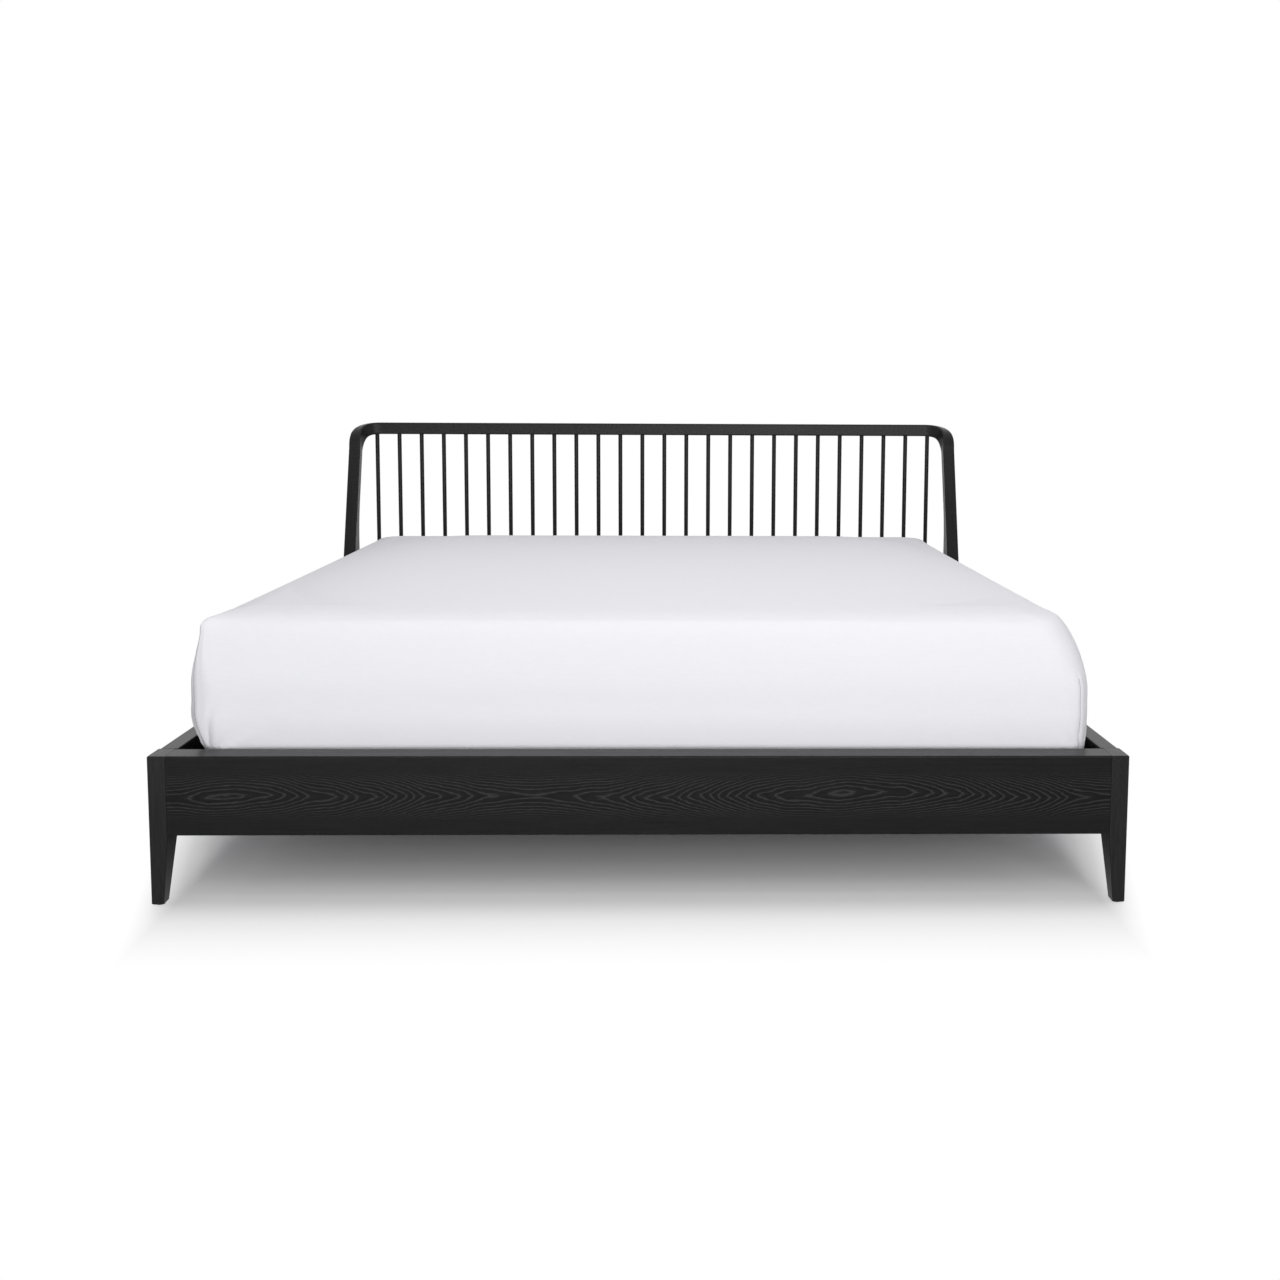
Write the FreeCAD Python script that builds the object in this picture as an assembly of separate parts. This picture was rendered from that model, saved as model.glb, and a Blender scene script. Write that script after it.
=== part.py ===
import FreeCAD, Part

import math
import os

from FreeCAD import Vector

# A spindle bed. X runs across the bed, +Y from the foot to the head, +Z up. The origin is the centre of the
# outline on the floor. All sizes are millimetres.

# ---- driving dimensions ----
OVERALL_WIDTH = 2060.0
OVERALL_DEPTH = 2155.0
HEADBOARD_TOP = 986.0
RAIL_TOP = 321.0
RAIL_HEIGHT = 169.5
BOARD = 38.0  # thickness of side rails, posts and back rail
CHAMFER = 3.0  # on every arris that a hand can reach
FIT = 0.1  # room round a tenon, spindle or screw in its hole

LEG_WIDTH = 38.0
LEG_DEPTH = 74.0
LEG_FOOT_WIDTH = 26.0
LEG_FOOT_DEPTH = 36.0
GLIDE_RADIUS = 10.0
GLIDE_HEIGHT = 3.0
SIDE_SETBACK = 4.0  # the legs stand this far proud of the side rails

FRONT_BOARD = 28.0
FRONT_SHELF_DEPTH = 70.0

POST_LEAN = 18.6  # degrees off the vertical
POST_DEPTH = 44.0  # square to the lean
POST_TOP_Z = 898.0  # where the carved corner takes over
POST_FRONT_AT_RAIL = 1833.0  # from the foot end, where the post's front line meets the rail's top
POST_FRONT_FILLET = 100.0
POST_BACK_BEND = 420.0
POST_BEND_TOP = 723.0  # height at which the post's back leaves its straight line
POST_BACK_FILLET = 50.0
KNEE_START = 1750.0  # from the foot end, where the side rail ends and the post's foot begins

TOP_RAIL_DEPTH = 36.0
TOP_RAIL_HEIGHT = 39.5
TOP_RAIL_HALF = 930.0
CORNER_SECTIONS = 9
CORNER_HANDLE_RAIL = 74.0
CORNER_HANDLE_POST = 56.0

SPINDLES = 26
SPINDLE_PITCH = 76.0
SPINDLE_RADIUS_TOP = 7.1
SPINDLE_RADIUS_BOTTOM = 6.3
SPINDLE_RADIUS_SWELL = 7.0
SPINDLE_SWELL_Z = 700.0  # height from which the spindle is nearly straight
SPINDLE_SIDES = 12  # 26 rods and 52 sockets stay light this way, and their flats are under 4 mm wide
SOCKET_DEPTH = 18.0

BASE_Z = 260.0  # top of the slats
SLATS = 14
SLAT_WIDTH = 68.0
SLAT_THICKNESS = 20.0
SLAT_HALF_LENGTH = 980.0
SLAT_FIRST = 134.0  # middle of the first slat, from the foot end
SLAT_LAST = 2040.0
LEDGER_DEPTH = 32.0
LEDGER_HEIGHT = 40.0
LEDGER_START = 80.0
LEDGER_END = 2075.0
WEBBING_X = 560.0
WEBBING_WIDTH = 24.0
WEBBING_GAUGE = 1.0

BEAM_WIDTH = 40.0
BEAM_HEIGHT = 60.0
HANGER_GAUGE = 3.0
HANGER_DEPTH = 42.0
HANGER_WING = 22.0
CENTRE_LEGS = {"front": 740.0, "back": 1440.0}  # from the foot end
CENTRE_LEG_TOP = 44.0
CENTRE_LEG_BOTTOM = 34.0
CENTRE_LEG_CLEAR = 17.0  # from the floor to the wood
STEM_RADIUS = 5.0
STEM_TOP = 60.0
LEVELLING_TRAVEL = 15.0
STEM_NUT_RADIUS = 9.8
STEM_NUT_HEIGHT = 6.0
PAD_RADIUS = 22.0
PAD_HEIGHT = 9.0
PAD_SOCKET_DEPTH = 6.0
PAD_SIDES = 16
RUNNING_CLEARANCE = 0.05

PLATE_GAUGE = 4.0
PLATE_LOW = 247.0
PLATE_HEIGHT = 42.0
BRACKET_ARM = 92.0
BRACKET_SIDE_ARM = 160.0
JOINING_PLATE_LENGTH = 170.0
BRACKET_SCREWS = (32.0, 70.0)  # from the inside corner, along the front arm
SIDE_ARM_SCREWS = (95.0, 138.0)
PLATE_SCREWS = (-70.0, -38.0, 38.0, 70.0)  # from the joint
COACH_RADIUS = 4.0
COACH_LENGTH = 28.0
COACH_POINT = 6.0
COACH_HEAD_RADIUS = 7.5
COACH_HEAD_HEIGHT = 4.5
SCREW_INSET = 13.0  # from the edge of the piece that it holds
SCREW_RADIUS = 2.0
SCREW_HEAD_RADIUS = 4.2
SCREW_HEAD_HEIGHT = 2.6
SCREW_LENGTH = 34.0
HANGER_SCREW_LENGTH = 22.0
SCREW_POINT = 4.0
SCREW_TIP = 0.5
SHANK_SIDES = 8
HEAD_SIDES = 6
LEDGER_SCREWS = (200.0, 950.0, 1650.0, 1900.0)  # from the foot end

TENON_GAUGE = 10.0
TENON_WIDTH = 70.0
TENON_LENGTH = 50.0
TENON_Z = 236.0
SMALL_TENON_WIDTH = 20.0
SMALL_TENON_LENGTH = 40.0
SMALL_TENON_RAISE = 7.0  # keeps the tenon at the end of the top rail clear of the sockets

MATTRESS_HALF_WIDTH = 975.0
MATTRESS_FRONT = 84.0  # from the foot end
MATTRESS_BACK = 2112.0
MATTRESS_CORNER_RADIUS = 62.0  # seen from above
SHEET_THICKNESS = 2.0
SHEET_WRAP = 130.0  # how far the fitted sheet reaches under the mattress
LIFT_GAP = 0.3  # between the sheet and the slats

# height over the slats, how far the side stands in from its fullest line, and how far it is drawn in
# between the corners
MATTRESS_PROFILE = [
    (0.0, 58.0, 4.0),
    (34.0, 24.0, 6.0),
    (104.0, 3.0, 10.0),
    (202.0, 1.0, 11.0),
    (262.0, 17.0, 8.0),
    (314.0, 33.0, 5.0),
    (336.0, 52.0, 3.0),
    (349.0, 110.0, 0.0),
    (357.0, 190.0, 0.0),
    (362.0, 300.0, 0.0),
]

# ---- derived places ----
FOOT = -OVERALL_DEPTH / 2
HEAD = OVERALL_DEPTH / 2
OUTER_X = OVERALL_WIDTH / 2
LEG_INNER_X = OUTER_X - LEG_WIDTH
RAIL_OUTER_X = OUTER_X - SIDE_SETBACK
RAIL_INNER_X = RAIL_OUTER_X - BOARD
RAIL_MIDDLE_X = RAIL_OUTER_X - BOARD / 2
RAIL_BOTTOM = RAIL_TOP - RAIL_HEIGHT
SHELF_BOTTOM = RAIL_TOP - FRONT_BOARD
BACK_RAIL_FACE = HEAD - BOARD
REAR_LEG_FACE = HEAD - LEG_DEPTH
KNEE_Y = FOOT + KNEE_START
SPINDLE_Y = HEAD - BOARD / 2
TOP_RAIL_Z = HEADBOARD_TOP - TOP_RAIL_HEIGHT / 2
TOP_RAIL_UNDERSIDE = HEADBOARD_TOP - TOP_RAIL_HEIGHT
LEDGER_TOP = BASE_Z - SLAT_THICKNESS
BEAM_BOTTOM = LEDGER_TOP - BEAM_HEIGHT
BEAM_FRONT = FOOT + FRONT_BOARD + HANGER_GAUGE
BEAM_BACK = BACK_RAIL_FACE - HANGER_GAUGE
X_AXIS = Vector(1, 0, 0)
Y_AXIS = Vector(0, 1, 0)
Z_AXIS = Vector(0, 0, 1)
SIDES = ("left", "right")


# ---- helpers ----
def box(x, y, z):
    """A block between two limits on each axis."""
    low = Vector(min(x), min(y), min(z))
    return Part.makeBox(max(x) - low.x, max(y) - low.y, max(z) - low.z, low)


def rectangle(centre, across, along, width, height):
    """Four corners in the plane of two unit vectors."""
    w = across * (width / 2)
    h = along * (height / 2)
    return [centre + w - h, centre + w + h, centre - w + h, centre - w - h]


def closed(points):
    return Part.makePolygon(points + points[:1])


def eased(points, sharp=()):
    """The outline through points, with a small chamfer at all corners but the ones numbered in sharp."""
    corners = []
    for number, corner in enumerate(points):
        if number in sharp:
            corners.append(corner)
            continue
        before = (points[number - 1] - corner).normalize()
        after = (points[(number + 1) % len(points)] - corner).normalize()
        corners.append(corner + before * CHAMFER)
        corners.append(corner + after * CHAMFER)
    return corners


def faceted(rings):
    """A solid with flat sides between outlines whose corners match one to one."""
    faces = [Part.Face(closed(rings[0])), Part.Face(closed(rings[-1]))]
    for low, high in zip(rings, rings[1:]):
        for number in range(len(low)):
            quad = [low[number - 1], low[number], high[number], high[number - 1]]
            faces.append(Part.Face(closed(quad)))
    shell = Part.makeShell(faces)
    shell.sewShape()
    return Part.makeSolid(shell)


def rod(sides, sections, start, direction=Z_AXIS):
    """A rod of flat sides through (distance, radius) sections along an axis that leaves start."""
    turns = [2 * math.pi * number / sides for number in range(sides)]
    rings = []
    for distance, radius in sections:
        rings.append([Vector(radius * math.cos(turn), radius * math.sin(turn), distance) for turn in turns])
    solid = faceted(rings)
    solid.Placement = FreeCAD.Placement(start, FreeCAD.Rotation(Z_AXIS, direction))
    return solid


def extruded(outline, direction):
    return Part.Face(closed(outline)).extrude(direction)


def cut(solid, tools):
    """Cuts only the tools that reach the piece."""
    reach = solid.BoundBox
    near = [tool for tool in tools if tool.BoundBox.intersect(reach)]
    return solid.cut(near) if near else solid


def mirrored(solid, side):
    """The piece as drawn for the right side, or its mirror image for the left."""
    return solid if side == "right" else solid.mirror(Vector(), X_AXIS)


def with_mirror_images(solids):
    return solids + [mirrored(solid, "left") for solid in solids]


def save(name, shape):
    shape.exportStep("parts/" + name + ".step")


def save_group(name, solids):
    save(name, Part.makeCompound(solids))


# ---- fixings ----
def tenon(middle, along, wide, width, length, room=0.0):
    """A loose tenon across a joint at middle, or its mortise if it has room."""
    start = middle - along * (length / 2 + room)
    section = rectangle(start, wide, along.cross(wide), width + 2 * room, TENON_GAUGE + 2 * room)
    return extruded(section, along * (length + 2 * room))


def tenons(room=0.0):
    """Rails to legs, rails to post feet, post feet to rear legs, and the carved corners to what they join."""
    right = []
    for y in (FOOT + FRONT_BOARD / 2, SPINDLE_Y):
        middle = Vector(LEG_INNER_X, y, TENON_Z)
        right.append(tenon(middle, X_AXIS, Z_AXIS, TENON_WIDTH, TENON_LENGTH, room))
    for y in (FOOT + LEG_DEPTH, KNEE_Y, REAR_LEG_FACE):
        middle = Vector(RAIL_MIDDLE_X, y, TENON_Z)
        right.append(tenon(middle, Y_AXIS, Z_AXIS, TENON_WIDTH, TENON_LENGTH, room))
    small = (SMALL_TENON_WIDTH, SMALL_TENON_LENGTH, room)
    right.append(tenon(post_top_centre(), post_direction(), post_square(), *small))
    rail_end = Vector(TOP_RAIL_HALF, SPINDLE_Y, TOP_RAIL_Z + SMALL_TENON_RAISE)
    right.append(tenon(rail_end, X_AXIS, Y_AXIS, *small))
    return with_mirror_images(right)


def coach_screw(start, direction, room=0.0):
    """A hexagon-headed wood screw, its head seated on a steel plate at start."""
    radius = COACH_RADIUS + room
    sections = [(0, radius), (COACH_LENGTH - COACH_POINT, radius), (COACH_LENGTH, SCREW_TIP)]
    shank = rod(SHANK_SIDES, sections, start, direction)
    if room:
        return shank
    sections = [(-COACH_HEAD_HEIGHT, COACH_HEAD_RADIUS), (0, COACH_HEAD_RADIUS)]
    return shank.fuse(rod(HEAD_SIDES, sections, start, direction))


def coach_screws(room=0.0):
    """Two through each arm of a corner bracket and four through each joining plate."""
    right = []
    z = PLATE_LOW + PLATE_HEIGHT / 2
    inside = RAIL_INNER_X - PLATE_GAUGE
    corner = FOOT + FRONT_BOARD
    for reach in BRACKET_SCREWS:
        start = Vector(RAIL_INNER_X - reach, corner + PLATE_GAUGE, z)
        right.append(coach_screw(start, -Y_AXIS, room))
    for y in [corner + reach for reach in SIDE_ARM_SCREWS] + [KNEE_Y + reach for reach in PLATE_SCREWS]:
        right.append(coach_screw(Vector(inside, y, z), X_AXIS, room))
    return with_mirror_images(right)


def wood_screw(start, direction, length, room=0.0):
    """A countersunk screw, its head flush."""
    radius = SCREW_RADIUS + room
    sections = [
        (0, SCREW_HEAD_RADIUS + room),
        (SCREW_HEAD_HEIGHT, radius),
        (length - SCREW_POINT, radius),
        (length, SCREW_TIP),
    ]
    return rod(HEAD_SIDES, sections, start, direction)


def slat_and_ledger_screws():
    """Down through the ends of the first and last slats, and through the ledgers into the rails."""
    right = []
    ledger_x = RAIL_INNER_X - LEDGER_DEPTH
    for y in (FOOT + SLAT_FIRST, FOOT + SLAT_LAST):
        right.append(wood_screw(Vector(ledger_x + SCREW_INSET, y, BASE_Z), -Z_AXIS, SCREW_LENGTH))
    for reach in LEDGER_SCREWS:
        start = Vector(ledger_x, FOOT + reach, LEDGER_TOP - 2 * SCREW_INSET)
        right.append(wood_screw(start, X_AXIS, SCREW_LENGTH + LEDGER_DEPTH / 2))
    return with_mirror_images(right)


def hanger_screws(room=0.0):
    """Through the wings of the beam's hangers into the front and back rails."""
    right = []
    x = BEAM_WIDTH / 2 + HANGER_GAUGE + HANGER_WING / 2
    for z in (BEAM_BOTTOM + SCREW_INSET, LEDGER_TOP - SCREW_INSET):
        right.append(wood_screw(Vector(x, BEAM_FRONT, z), -Y_AXIS, HANGER_SCREW_LENGTH, room))
        right.append(wood_screw(Vector(x, BEAM_BACK, z), Y_AXIS, HANGER_SCREW_LENGTH, room))
    return with_mirror_images(right)


# ---- base ----
def leg(side, end):
    """A leg, upright outside and at the end of the bed, tapering inwards below the rails."""
    outward_y = -1 if end == "front" else 1
    face_y = FOOT if end == "front" else HEAD
    sections = []
    for z, width, depth in (
        (GLIDE_HEIGHT, LEG_FOOT_WIDTH, LEG_FOOT_DEPTH),
        (RAIL_BOTTOM, LEG_WIDTH, LEG_DEPTH),
        (RAIL_TOP, LEG_WIDTH, LEG_DEPTH),
    ):
        centre = Vector(OUTER_X - width / 2, face_y - outward_y * depth / 2, z)
        sections.append(eased(rectangle(centre, X_AXIS, Y_AXIS, width, depth)))
    return mirrored(faceted(sections), side)


def leg_glides():
    """Low nylon discs under the four legs."""
    x = OUTER_X - LEG_FOOT_WIDTH / 2
    reach = HEAD - LEG_FOOT_DEPTH / 2
    sections = [(0, GLIDE_RADIUS), (GLIDE_HEIGHT, GLIDE_RADIUS)]
    return with_mirror_images([rod(PAD_SIDES, sections, Vector(x, y, 0)) for y in (-reach, reach)])


def front_rail():
    """An upright board with a shelf along its top, so that it looks like a thick beam."""
    back = FOOT + FRONT_BOARD
    shelf_back = FOOT + FRONT_SHELF_DEPTH
    section = [
        Vector(-LEG_INNER_X, FOOT, RAIL_BOTTOM),
        Vector(-LEG_INNER_X, back, RAIL_BOTTOM),
        Vector(-LEG_INNER_X, back, SHELF_BOTTOM),
        Vector(-LEG_INNER_X, shelf_back, SHELF_BOTTOM),
        Vector(-LEG_INNER_X, shelf_back, RAIL_TOP),
        Vector(-LEG_INNER_X, FOOT, RAIL_TOP),
    ]
    inner_corner = 2
    return extruded(eased(section, (inner_corner,)), X_AXIS * (2 * LEG_INNER_X))


def side_rail():
    start = FOOT + LEG_DEPTH
    middle = Vector(RAIL_MIDDLE_X, start, (RAIL_BOTTOM + RAIL_TOP) / 2)
    section = rectangle(middle, X_AXIS, Z_AXIS, BOARD, RAIL_HEIGHT)
    return extruded(eased(section), Y_AXIS * (KNEE_Y - start))


def back_rail():
    """The lower rail of the headboard, with a socket for each spindle in its top edge."""
    middle = Vector(-LEG_INNER_X, SPINDLE_Y, (RAIL_BOTTOM + RAIL_TOP) / 2)
    section = rectangle(middle, Y_AXIS, Z_AXIS, BOARD, RAIL_HEIGHT)
    board = extruded(eased(section), X_AXIS * (2 * LEG_INNER_X))
    return cut(board, [bottom_socket(x) for x in spindle_places()])


# ---- headboard ----
def post_direction():
    lean = math.radians(POST_LEAN)
    return Vector(0, math.sin(lean), math.cos(lean))


def post_square():
    """The direction from the post's front to its back, square to the lean."""
    lean = math.radians(POST_LEAN)
    return Vector(0, math.cos(lean), -math.sin(lean))


def post_front_y(z):
    """The post's front line at a height."""
    return FOOT + POST_FRONT_AT_RAIL + (z - RAIL_TOP) * math.tan(math.radians(POST_LEAN))


def post_half_depth():
    """Half the post's depth, measured level."""
    return POST_DEPTH / 2 / math.cos(math.radians(POST_LEAN))


def post_top_centre():
    return Vector(RAIL_MIDDLE_X, post_front_y(POST_TOP_Z) + post_half_depth(), POST_TOP_Z)


def arc_about(y, z, radius, start, end):
    """An arc in the plane of the post's inner face, between two angles from +Y towards +Z."""
    points = []
    for angle in (start, (start + end) / 2, end):
        turn = math.radians(angle)
        points.append(Vector(RAIL_INNER_X, y + radius * math.cos(turn), z + radius * math.sin(turn)))
    return Part.Arc(*points).toShape()


def post_outline():
    """From the top end down the front, round the foot that lies in the rail, and up the swept back."""
    lean = math.radians(POST_LEAN)
    centre = post_top_centre() - X_AXIS * (BOARD / 2)
    top_front = centre - post_square() * (POST_DEPTH / 2)
    top_back = centre + post_square() * (POST_DEPTH / 2)

    front_y = FOOT + POST_FRONT_AT_RAIL
    reach = POST_FRONT_FILLET / math.tan((math.pi / 2 + lean) / 2)
    front_arc = arc_about(front_y - reach, RAIL_TOP + POST_FRONT_FILLET, POST_FRONT_FILLET, -POST_LEAN, -90)

    # the back leaves its straight line along an arc about a centre behind the post, and ends upright
    hollow_y = post_front_y(POST_BEND_TOP) + 2 * post_half_depth() + POST_BACK_BEND * math.cos(lean)
    hollow_z = POST_BEND_TOP - POST_BACK_BEND * math.sin(lean)
    upright_y = hollow_y - POST_BACK_BEND

    # from there a longer arc sweeps it back, and a fillet lays it down on the rail's line
    drop = hollow_z - RAIL_TOP - POST_BACK_FILLET
    spread = REAR_LEG_FACE - upright_y - POST_BACK_FILLET
    sweep = 2 * math.degrees(math.atan2(spread, drop))
    sweep_radius = POST_BACK_FILLET + drop / math.sin(math.radians(sweep))
    upper_arc = arc_about(hollow_y, hollow_z, POST_BACK_BEND, 180 - POST_LEAN, 180)
    sweep_arc = arc_about(upright_y + sweep_radius, hollow_z, sweep_radius, 180, 180 + sweep)
    fillet_arc = arc_about(REAR_LEG_FACE, RAIL_TOP + POST_BACK_FILLET, POST_BACK_FILLET, 180 + sweep, 270)

    knee_top = Vector(RAIL_INNER_X, KNEE_Y, RAIL_TOP)
    knee_bottom = Vector(RAIL_INNER_X, KNEE_Y, RAIL_BOTTOM)
    heel_bottom = Vector(RAIL_INNER_X, REAR_LEG_FACE, RAIL_BOTTOM)
    heel_top = Vector(RAIL_INNER_X, REAR_LEG_FACE, RAIL_TOP)
    edges = [
        Part.makeLine(top_front, ends(front_arc)[0]),
        front_arc,
        Part.makeLine(ends(front_arc)[1], knee_top),
        Part.makeLine(knee_top, knee_bottom),
        Part.makeLine(knee_bottom, heel_bottom),
        Part.makeLine(heel_bottom, heel_top),
        fillet_arc,
        sweep_arc,
        upper_arc,
        Part.makeLine(ends(upper_arc)[0], top_back),
        Part.makeLine(top_back, top_front),
    ]
    return Part.Wire(Part.__sortEdges__(edges))


def ends(edge):
    """An edge's first and last points, in the order that it was drawn."""
    return edge.valueAt(edge.FirstParameter), edge.valueAt(edge.LastParameter)


def headboard_post():
    """The leaning post and its foot, one board that carries the side rail's line back to the rear leg."""
    board = Part.Face(post_outline()).extrude(X_AXIS * BOARD)
    return board.makeChamfer(CHAMFER, [edge for edge in board.Edges if is_post_arris(edge)])


def is_post_arris(edge):
    """True for the long edges of the post's two broad faces, but not those of its three butt ends."""
    box_of_edge = edge.BoundBox
    if box_of_edge.XLength > 1:
        return False
    butt_ends = box_of_edge.YLength < 0.01
    top_end = box_of_edge.ZMin > POST_TOP_Z - POST_DEPTH / 2 and box_of_edge.ZLength < POST_DEPTH
    return not (butt_ends or top_end)


def spindle_places():
    first = -SPINDLE_PITCH * (SPINDLES - 1) / 2
    return [first + SPINDLE_PITCH * number for number in range(SPINDLES)]


def top_socket(x):
    """A socket that opens below the top rail, also where the carved corner dips under the rail's line."""
    radius = SPINDLE_RADIUS_TOP + FIT
    top = TOP_RAIL_UNDERSIDE + SOCKET_DEPTH + FIT
    low = TOP_RAIL_UNDERSIDE - TOP_RAIL_HEIGHT
    return rod(SPINDLE_SIDES, [(low, radius), (top, radius)], Vector(x, SPINDLE_Y, 0))


def bottom_socket(x):
    radius = SPINDLE_RADIUS_BOTTOM + FIT
    low = RAIL_TOP - SOCKET_DEPTH - FIT
    return rod(SPINDLE_SIDES, [(low, radius), (RAIL_TOP + 1, radius)], Vector(x, SPINDLE_Y, 0))


def spindle(x):
    """A slender rod that swells slowly towards the top, with its ends in the sockets."""
    sections = [
        (RAIL_TOP - SOCKET_DEPTH, SPINDLE_RADIUS_BOTTOM),
        (SPINDLE_SWELL_Z, SPINDLE_RADIUS_SWELL),
        (TOP_RAIL_UNDERSIDE + SOCKET_DEPTH, SPINDLE_RADIUS_TOP),
    ]
    return rod(SPINDLE_SIDES, sections, Vector(x, SPINDLE_Y, 0))


def top_rail():
    """The straight stretch of the top rail, with the sockets of all but the two outer spindles."""
    middle = Vector(-TOP_RAIL_HALF, SPINDLE_Y, TOP_RAIL_Z)
    section = rectangle(middle, Y_AXIS, Z_AXIS, TOP_RAIL_DEPTH, TOP_RAIL_HEIGHT)
    rail = extruded(eased(section), X_AXIS * (2 * TOP_RAIL_HALF))
    return cut(rail, [top_socket(x) for x in spindle_places() if abs(x) < TOP_RAIL_HALF])


def corner_path(t):
    """Point and unit direction at t from 0, at the top rail, to 1, at the post: a cubic curve."""
    start = Vector(TOP_RAIL_HALF, SPINDLE_Y, TOP_RAIL_Z)
    end = post_top_centre()
    reach_out = start + X_AXIS * CORNER_HANDLE_RAIL
    reach_up = end + post_direction() * CORNER_HANDLE_POST
    u = 1 - t
    point = start * u**3 + reach_out * (3 * u * u * t) + reach_up * (3 * u * t * t) + end * t**3
    along = (reach_out - start) * (u * u) + (reach_up - reach_out) * (2 * u * t) + (end - reach_up) * (t * t)
    return point, along.normalize()


def corner_section(t):
    """The rail's front face turns in to become the post's inner face, and its top the post's front."""
    point, along = corner_path(t)
    inward = -Y_AXIS * (1 - t) - X_AXIS * t
    inward = (inward - along * inward.dot(along)).normalize()
    upward = inward.cross(along)
    depth = TOP_RAIL_DEPTH + (BOARD - TOP_RAIL_DEPTH) * t
    height = TOP_RAIL_HEIGHT + (POST_DEPTH - TOP_RAIL_HEIGHT) * t
    return closed(eased(rectangle(point, inward, upward, depth, height)))


def headboard_corner():
    """The carved corner that wraps from the top rail forward and down into the leaning post."""
    sections = [corner_section(number / (CORNER_SECTIONS - 1)) for number in range(CORNER_SECTIONS)]
    return cut(Part.makeLoft(sections, True, False), [top_socket(max(spindle_places()))])


# ---- slatted base ----
def ledger():
    """A batten along the inside of a side rail, under the slats' ends."""
    x = (RAIL_INNER_X - LEDGER_DEPTH, RAIL_INNER_X)
    return box(x, (FOOT + LEDGER_START, FOOT + LEDGER_END), (LEDGER_TOP - LEDGER_HEIGHT, LEDGER_TOP))


def slats():
    step = (SLAT_LAST - SLAT_FIRST) / (SLATS - 1)
    x = (-SLAT_HALF_LENGTH, SLAT_HALF_LENGTH)
    middles = [FOOT + SLAT_FIRST + step * number for number in range(SLATS)]
    return [box(x, (y - SLAT_WIDTH / 2, y + SLAT_WIDTH / 2), (LEDGER_TOP, BASE_Z)) for y in middles]


def webbing():
    """Two tapes stapled under the slats, which keep them at their spacing."""
    x = (WEBBING_X - WEBBING_WIDTH / 2, WEBBING_X + WEBBING_WIDTH / 2)
    y = (FOOT + SLAT_FIRST - SLAT_WIDTH / 2, FOOT + SLAT_LAST + SLAT_WIDTH / 2)
    return with_mirror_images([box(x, y, (LEDGER_TOP - WEBBING_GAUGE, LEDGER_TOP))])


def centre_beam():
    return box((-BEAM_WIDTH / 2, BEAM_WIDTH / 2), (BEAM_FRONT, BEAM_BACK), (BEAM_BOTTOM, LEDGER_TOP))


def beam_hanger(end):
    """A folded steel pocket: a back plate with wings, two cheeks and a floor that carry the beam's end."""
    back = FOOT + FRONT_BOARD if end == "front" else BACK_RAIL_FACE
    inward = 1 if end == "front" else -1
    cheek = BEAM_WIDTH / 2 + HANGER_GAUGE
    plate_y = (back, back + inward * HANGER_GAUGE)
    pocket_y = (back, back + inward * (HANGER_GAUGE + HANGER_DEPTH))
    low = BEAM_BOTTOM - HANGER_GAUGE
    plate = box((-cheek - HANGER_WING, cheek + HANGER_WING), plate_y, (low, LEDGER_TOP))
    pocket = box((-cheek, cheek), pocket_y, (low, LEDGER_TOP))
    hollow = box((-BEAM_WIDTH / 2, BEAM_WIDTH / 2), (plate_y[1], pocket_y[1]), (BEAM_BOTTOM, LEDGER_TOP))
    return plate.fuse(pocket).cut(hollow).removeSplitter()


def centre_leg(y):
    sections = []
    for z, width in ((CENTRE_LEG_CLEAR, CENTRE_LEG_BOTTOM), (BEAM_BOTTOM, CENTRE_LEG_TOP)):
        sections.append(eased(rectangle(Vector(0, y, z), X_AXIS, Y_AXIS, width, width)))
    bore = Part.makeCylinder(STEM_RADIUS + FIT, STEM_TOP + LEVELLING_TRAVEL, Vector(0, y, 0))
    return faceted(sections).cut(bore)


def foot_pad(y):
    """The wide low pad of a levelling foot, with a round socket that the stem turns in."""
    sections = [(0, PAD_RADIUS - 1), (1, PAD_RADIUS), (4, PAD_RADIUS), (PAD_HEIGHT, STEM_RADIUS + 4)]
    socket_floor = Vector(0, y, PAD_HEIGHT - PAD_SOCKET_DEPTH)
    socket = Part.makeCylinder(STEM_RADIUS + RUNNING_CLEARANCE, PAD_SOCKET_DEPTH + 1, socket_floor)
    return rod(PAD_SIDES, sections, Vector(0, y, 0)).cut(socket)


def foot_stem(y):
    """The stem of a levelling foot, with the hexagon that a spanner turns."""
    low = PAD_HEIGHT - PAD_SOCKET_DEPTH + RUNNING_CLEARANCE
    stem = Part.makeCylinder(STEM_RADIUS, STEM_TOP - low, Vector(0, y, low))
    nut_z = PAD_HEIGHT + 1
    sections = [(nut_z, STEM_NUT_RADIUS), (nut_z + STEM_NUT_HEIGHT, STEM_NUT_RADIUS)]
    return stem.fuse(rod(HEAD_SIDES, sections, Vector(0, y, 0))).removeSplitter()


# ---- steel plates ----
def corner_bracket():
    """An angle that ties the front rail's board to the side rail, past the leg."""
    inside = FOOT + FRONT_BOARD
    z = (PLATE_LOW, PLATE_LOW + PLATE_HEIGHT)
    front_arm = box((RAIL_INNER_X - BRACKET_ARM, RAIL_INNER_X), (inside, inside + PLATE_GAUGE), z)
    side_arm = box((RAIL_INNER_X - PLATE_GAUGE, RAIL_INNER_X), (inside, inside + BRACKET_SIDE_ARM), z)
    return front_arm.fuse(side_arm).removeSplitter()


def joining_plate():
    """A flat strap across the joint between a side rail and the post's foot."""
    x = (RAIL_INNER_X - PLATE_GAUGE, RAIL_INNER_X)
    y = (KNEE_Y - JOINING_PLATE_LENGTH / 2, KNEE_Y + JOINING_PLATE_LENGTH / 2)
    return box(x, y, (PLATE_LOW, PLATE_LOW + PLATE_HEIGHT))


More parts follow.
